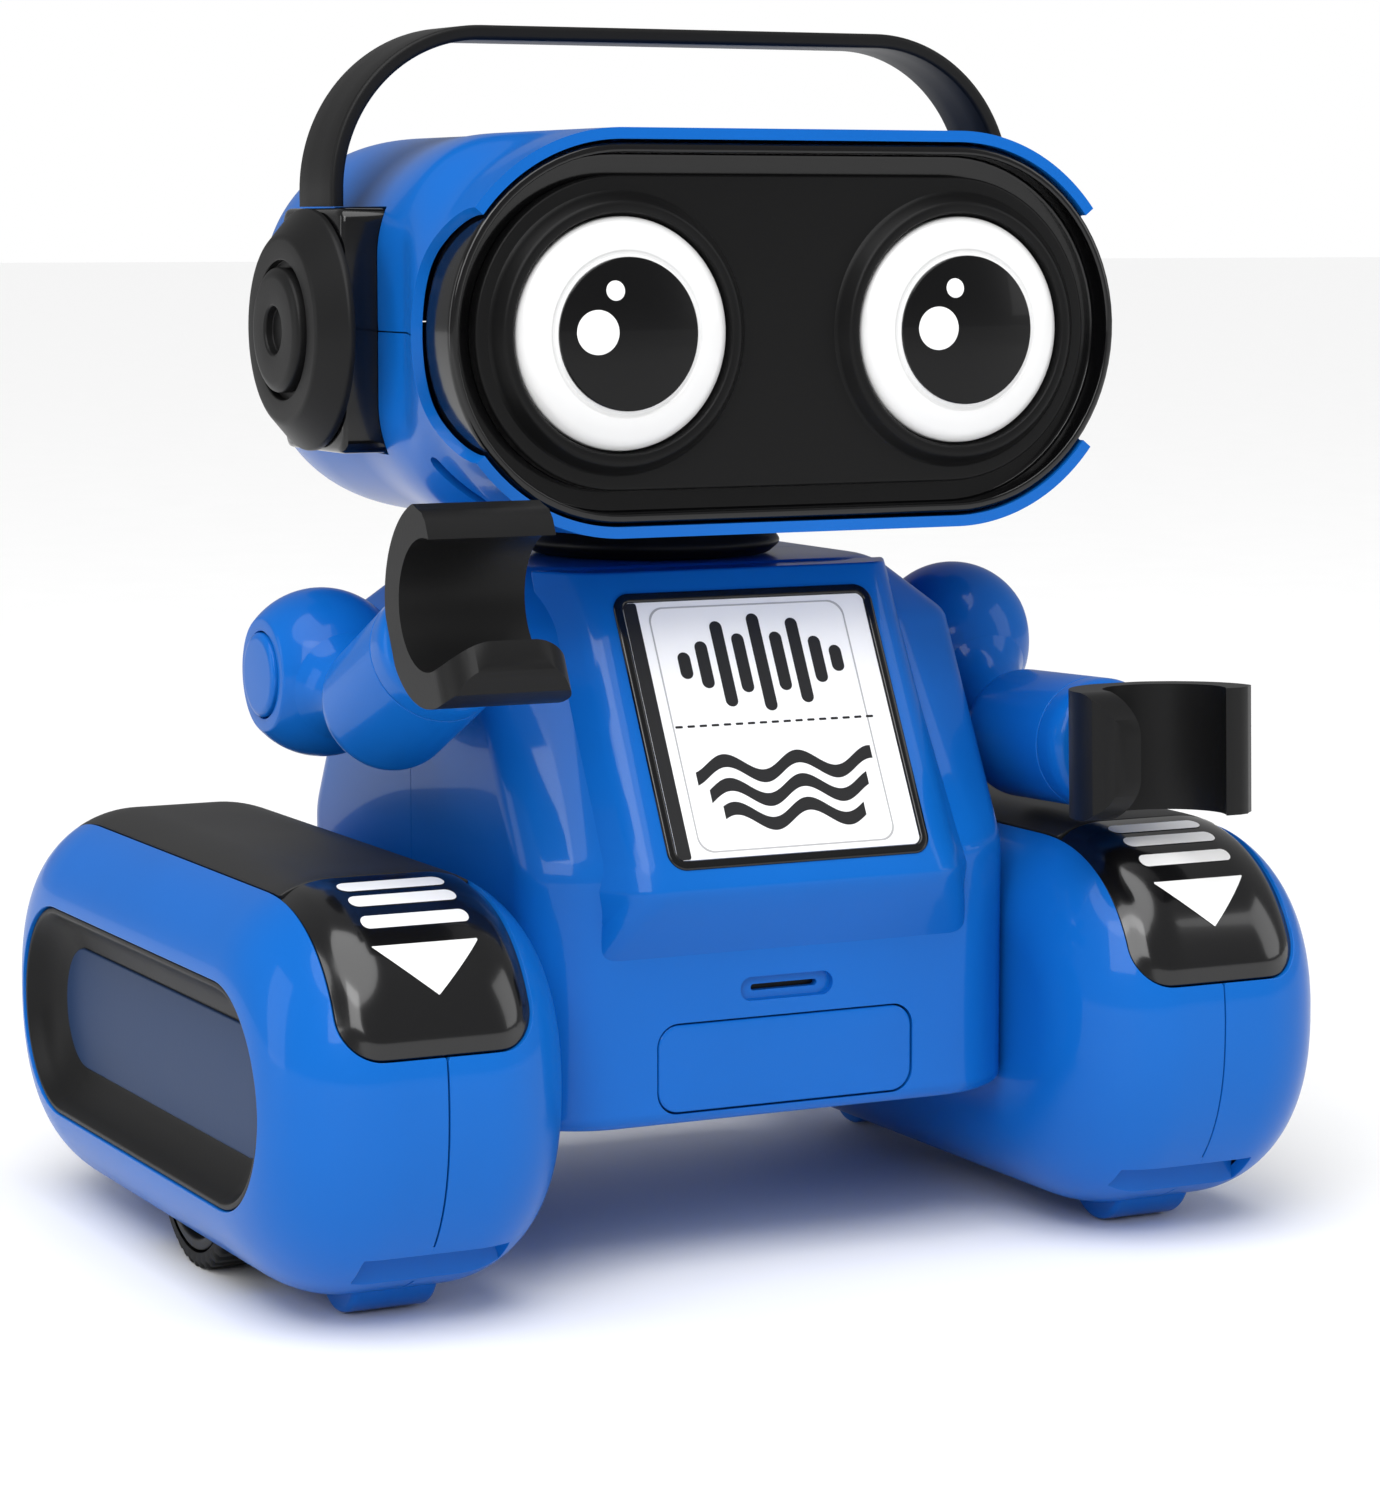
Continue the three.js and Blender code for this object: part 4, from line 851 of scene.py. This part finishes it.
def make_pod_casings():
    ends = np.linspace(0, 1, 110, endpoint=False)
    top = np.linspace(1, 2, 60, endpoint=False)
    ts = np.concatenate([ends, top, ends + 2, top + 2])
    across = np.concatenate([np.linspace(0.02, 1, 8, endpoint=False), np.linspace(1, 2, 36, endpoint=False),
                             np.linspace(2, 3, 22, endpoint=False), np.linspace(3, 4, 36, endpoint=False),
                             np.linspace(4, 4.98, 18)])
    outer, inner = (lambda p: casing_in(p, True)), (lambda p: casing_in(p, False))
    for name, stands, inside, mat, slot, wall, bevel in (
            ("pod_outer_casing", "pod_outer_shell", outer, BLUE, "blue_shell", 2.2, 0.45),
            ("pod_inner_casing", "pod_inner_shell", inner, BLUE, "blue_shell", 2.2, 0.45),
            ("pod_top_cover", "pod_cover", cover_in, COVER_BLACK, "cover_matt", 2.0, 0.35),
            ("pod_window", "pod_lens", lens_in, SMOKED, "smoked_lens", 2.0, 0.3)):
        points, faces = panel(pod_surface, ts, across, inside)
        if name == "pod_window":
            points = sunk(points)
        pair(name, (points, faces), mat, slot, stands=stands, wall=wall, bevel=bevel, sharp=50,
             bevel_angle=50)

    few = ts[::4]
    solid = loft([pod_surface(few, np.full(len(few), v)) for v in across[::3]])
    section = [(-76, 15.0), (-66, 15.0), (-66, 7), (-64.6, 7), (-64.6, 16.6), (-76, 16.6)]
    for name, way in (("front_recess", 1), ("rear_recess", -1)):
        lining = prism_x([(way * y, z) for y, z in section][::way], 62.8, 90.2)
        pair(name, carved(lining, [solid], "INTERSECT"), BLUE, "blue_shell", sharp=30, bevel=0.3)


def make_window_marks():
    """Three bars and an arrow, laid just above the window."""
    def lifted(t, v):
        p = pod_surface(t, v)
        return p + 0.12 * pod_outwards(p)

    def mark(p, k):
        u, y, z = p[..., 0] - 78.2, p[..., 1], p[..., 2]
        if k < 3:
            yc, half = ((-56.0, 1.85), (-61.3, 1.6), (-66.7, 1.35))[k]
            return np.minimum(round_box_in(u, y - yc, 9.9, half, half - 0.05), z - 55)
        slope = (z - 60.9) / 8.1
        return np.minimum(np.minimum(9.95 * slope - np.abs(u), 69.0 - z) * 0.8, -60 - y)

    front_t, front_v = np.linspace(2.02, 2.98, 420), np.linspace(1.6, 3.4, 150)
    for k in range(4):
        shape = panel(lifted, front_t, front_v, lambda p: mark(p, k), wrap_u=False)
        pair(f"window_mark_{k + 1}", shape, MARK_WHITE, "white_gloss")


def make_pod_sides():
    face = POD_X + 27.7
    bowl = fillet_profile([(20, face - 6), (20, face - 0.1), (19, face + 0.05), (16.6, face - 3.6),
                           (12.6, face - 5.9), (11, face - 6.4)], [0.3, 0.4, 2.2, 2.2], 8)
    insert = fillet_profile([(11.7, face - 7), (11.7, face - 5.75), (0.5, face - 5.7)], [0.35], 4)
    for name, profile, material, slot, stands in (
            ("side_bowl", bowl, SATIN_BLACK, "black_satin", "side_ring"),
            ("side_insert", insert, PANEL_BLUE, "blue_insert", "side_panel")):
        rings = [facing_side(stadium_ring(44, r, 40, arc=56, straight=20), x) for r, x in profile]
        pair(name, loft(rings, name != "side_bowl"), material, slot, stands=stands, flip=True)


def make_wheels():
    wheels = ("left_wheel", "right_wheel")
    hub = fillet_profile([(0.01, 77.5), (3, 77.5), (3, 86.4), (16.6, 86.4), (16.6, 97.2), (14.6, 97.3),
                          (13.2, 95.2), (5.6, 95.2), (4.6, 97.2), (0.01, 97.4)],
                         [0.2, 0.2, 0.3, 0.5, 0.5, 0.6, 0.6, 0.5], 5)
    pair("wheel_hub", turned(hub, 96, "x", WHEEL_AXLE), SATIN_BLACK, "black_gloss", wheels, "drive_wheel")
    ribs, groove = 44, 0.9
    angles = np.linspace(0, 2 * math.pi, ribs * 10, endpoint=False)
    phase = np.abs(np.mod(angles * ribs / (2 * math.pi), 1.0) - 0.5) * 2
    hollow = groove * (1 - ease((phase - 0.3) / 0.3))
    rings = []
    for x, r, cut in ((86.5, 17.0, 0), (86.45, 18.6, 0), (87.0, 19.85, 0.7), (87.6, 20.0, 1),
                      (96.2, 20.0, 1), (96.8, 19.85, 0.7), (97.35, 18.6, 0), (97.3, 17.0, 0)):
        rad = r - cut * hollow
        rings.append(np.c_[np.full(len(angles), x), WHEEL_AXLE[1] + rad * np.cos(angles),
                           WHEEL_AXLE[2] + rad * np.sin(angles)])
    pair("ribbed_tyre", loft(rings, False, False), RUBBER, "tyre_rubber", wheels, "tyre", sharp=60)


def make_skids():
    for name, y in (("front_skid", -49.0), ("rear_skid", 49.0)):
        foot = [(y + 9.5 * math.cos(a), 10.3 + 10 * math.sin(a))
                for a in np.linspace(math.pi, 2 * math.pi, 30)]
        pair(name + "_foot", prism_x(foot, POD_X - 8.2, POD_X + 7.9), BLUE, "blue_shell", stands=name,
             bevel=1.2, segments=4)


make_pod_casings()
make_window_marks()
make_pod_sides()
make_wheels()
make_skids()


# ------------------------------------------------------------------ CAD pieces that stay
for node, material in (("battery_pack", SATIN_BLACK), ("circuit_board", BOARD), ("speaker", STEEL),
                       ("left_gear_motor", MOTOR), ("right_gear_motor", MOTOR),
                       ("power_switch", SATIN_BLACK)):
    held = bpy.data.objects[node]
    for material_slot in held.material_slots:
        material_slot.link = "OBJECT"
        material_slot.material = material


# ------------------------------------------------------------------ studio
FLOOR_REACH = 20
WORLD_STRENGTH, BACKDROP_STRENGTH = 0.34, 1.0
SUN_STRENGTH, SUN_ANGLE = 2.5, 1.0
LIT_POINT = (0, 0, 0.1)

floor_mesh = bpy.data.meshes.new("floor")
corners = [(x * FLOOR_REACH, y * FLOOR_REACH, 0) for x, y in ((-1, -1), (1, -1), (1, 1), (-1, 1))]
floor_mesh.from_pydata(corners, [], [(0, 1, 2, 3)])
floor = add_object("floor", floor_mesh)
floor_mesh.materials.append(plastic("floor_pale", (0.95, 0.95, 0.95), 0.6, bump=0.01, fleck=0.004))

world = bpy.data.worlds.new("studio")
bpy.context.scene.world = world
world.use_nodes = True
nodes, links = world.node_tree.nodes, world.node_tree.links
ambient = nodes["Background"]
ambient.inputs["Color"].default_value = (1, 1, 1, 1)
ambient.inputs["Strength"].default_value = WORLD_STRENGTH
backdrop = nodes.new("ShaderNodeBackground")
backdrop.inputs["Color"].default_value = (1, 1, 1, 1)
backdrop.inputs["Strength"].default_value = BACKDROP_STRENGTH
rays = nodes.new("ShaderNodeLightPath")
chosen = nodes.new("ShaderNodeMixShader")
links.new(rays.outputs["Is Camera Ray"], chosen.inputs[0])
links.new(ambient.outputs[0], chosen.inputs[1])
links.new(backdrop.outputs[0], chosen.inputs[2])
links.new(chosen.outputs[0], nodes["World Output"].inputs["Surface"])
bpy.context.scene.view_settings.view_transform = "Standard"


def facing(direction):
    """Rotation of a lamp or camera that looks along a direction."""
    return Vector(direction).to_track_quat("-Z", "Y").to_euler()


def softbox(name, place_at, size, power):
    data = bpy.data.lights.new(name, "AREA")
    data.shape = "RECTANGLE"
    data.size, data.size_y = size
    data.energy = power
    obj = add_object(name, data)
    obj.location = place_at
    obj.rotation_euler = facing(Vector(LIT_POINT) - Vector(place_at))


softbox("key", (-1.0, -1.3, 1.1), (0.9, 1.1), 14)
softbox("fill", (1.5, -1.0, 0.8), (0.8, 1.2), 6)
softbox("side", (-1.6, 0.4, 0.5), (0.6, 1.1), 4)
sun_data = bpy.data.lights.new("sky", "SUN")
sun_data.energy = SUN_STRENGTH
sun_data.angle = SUN_ANGLE
add_object("sky", sun_data).rotation_euler = facing((0.25, 0.35, -1.0))

camera_data = bpy.data.cameras.new("camera")
camera_data.lens = 101.0
camera_data.sensor_width = 36.0
camera_data.clip_start = 0.01
camera = add_object("camera", camera_data)
camera.location = (-0.3544, -0.7207, 0.1901)
camera.rotation_euler = facing((0.4445, 0.8872, -0.1238))
bpy.context.scene.camera = camera
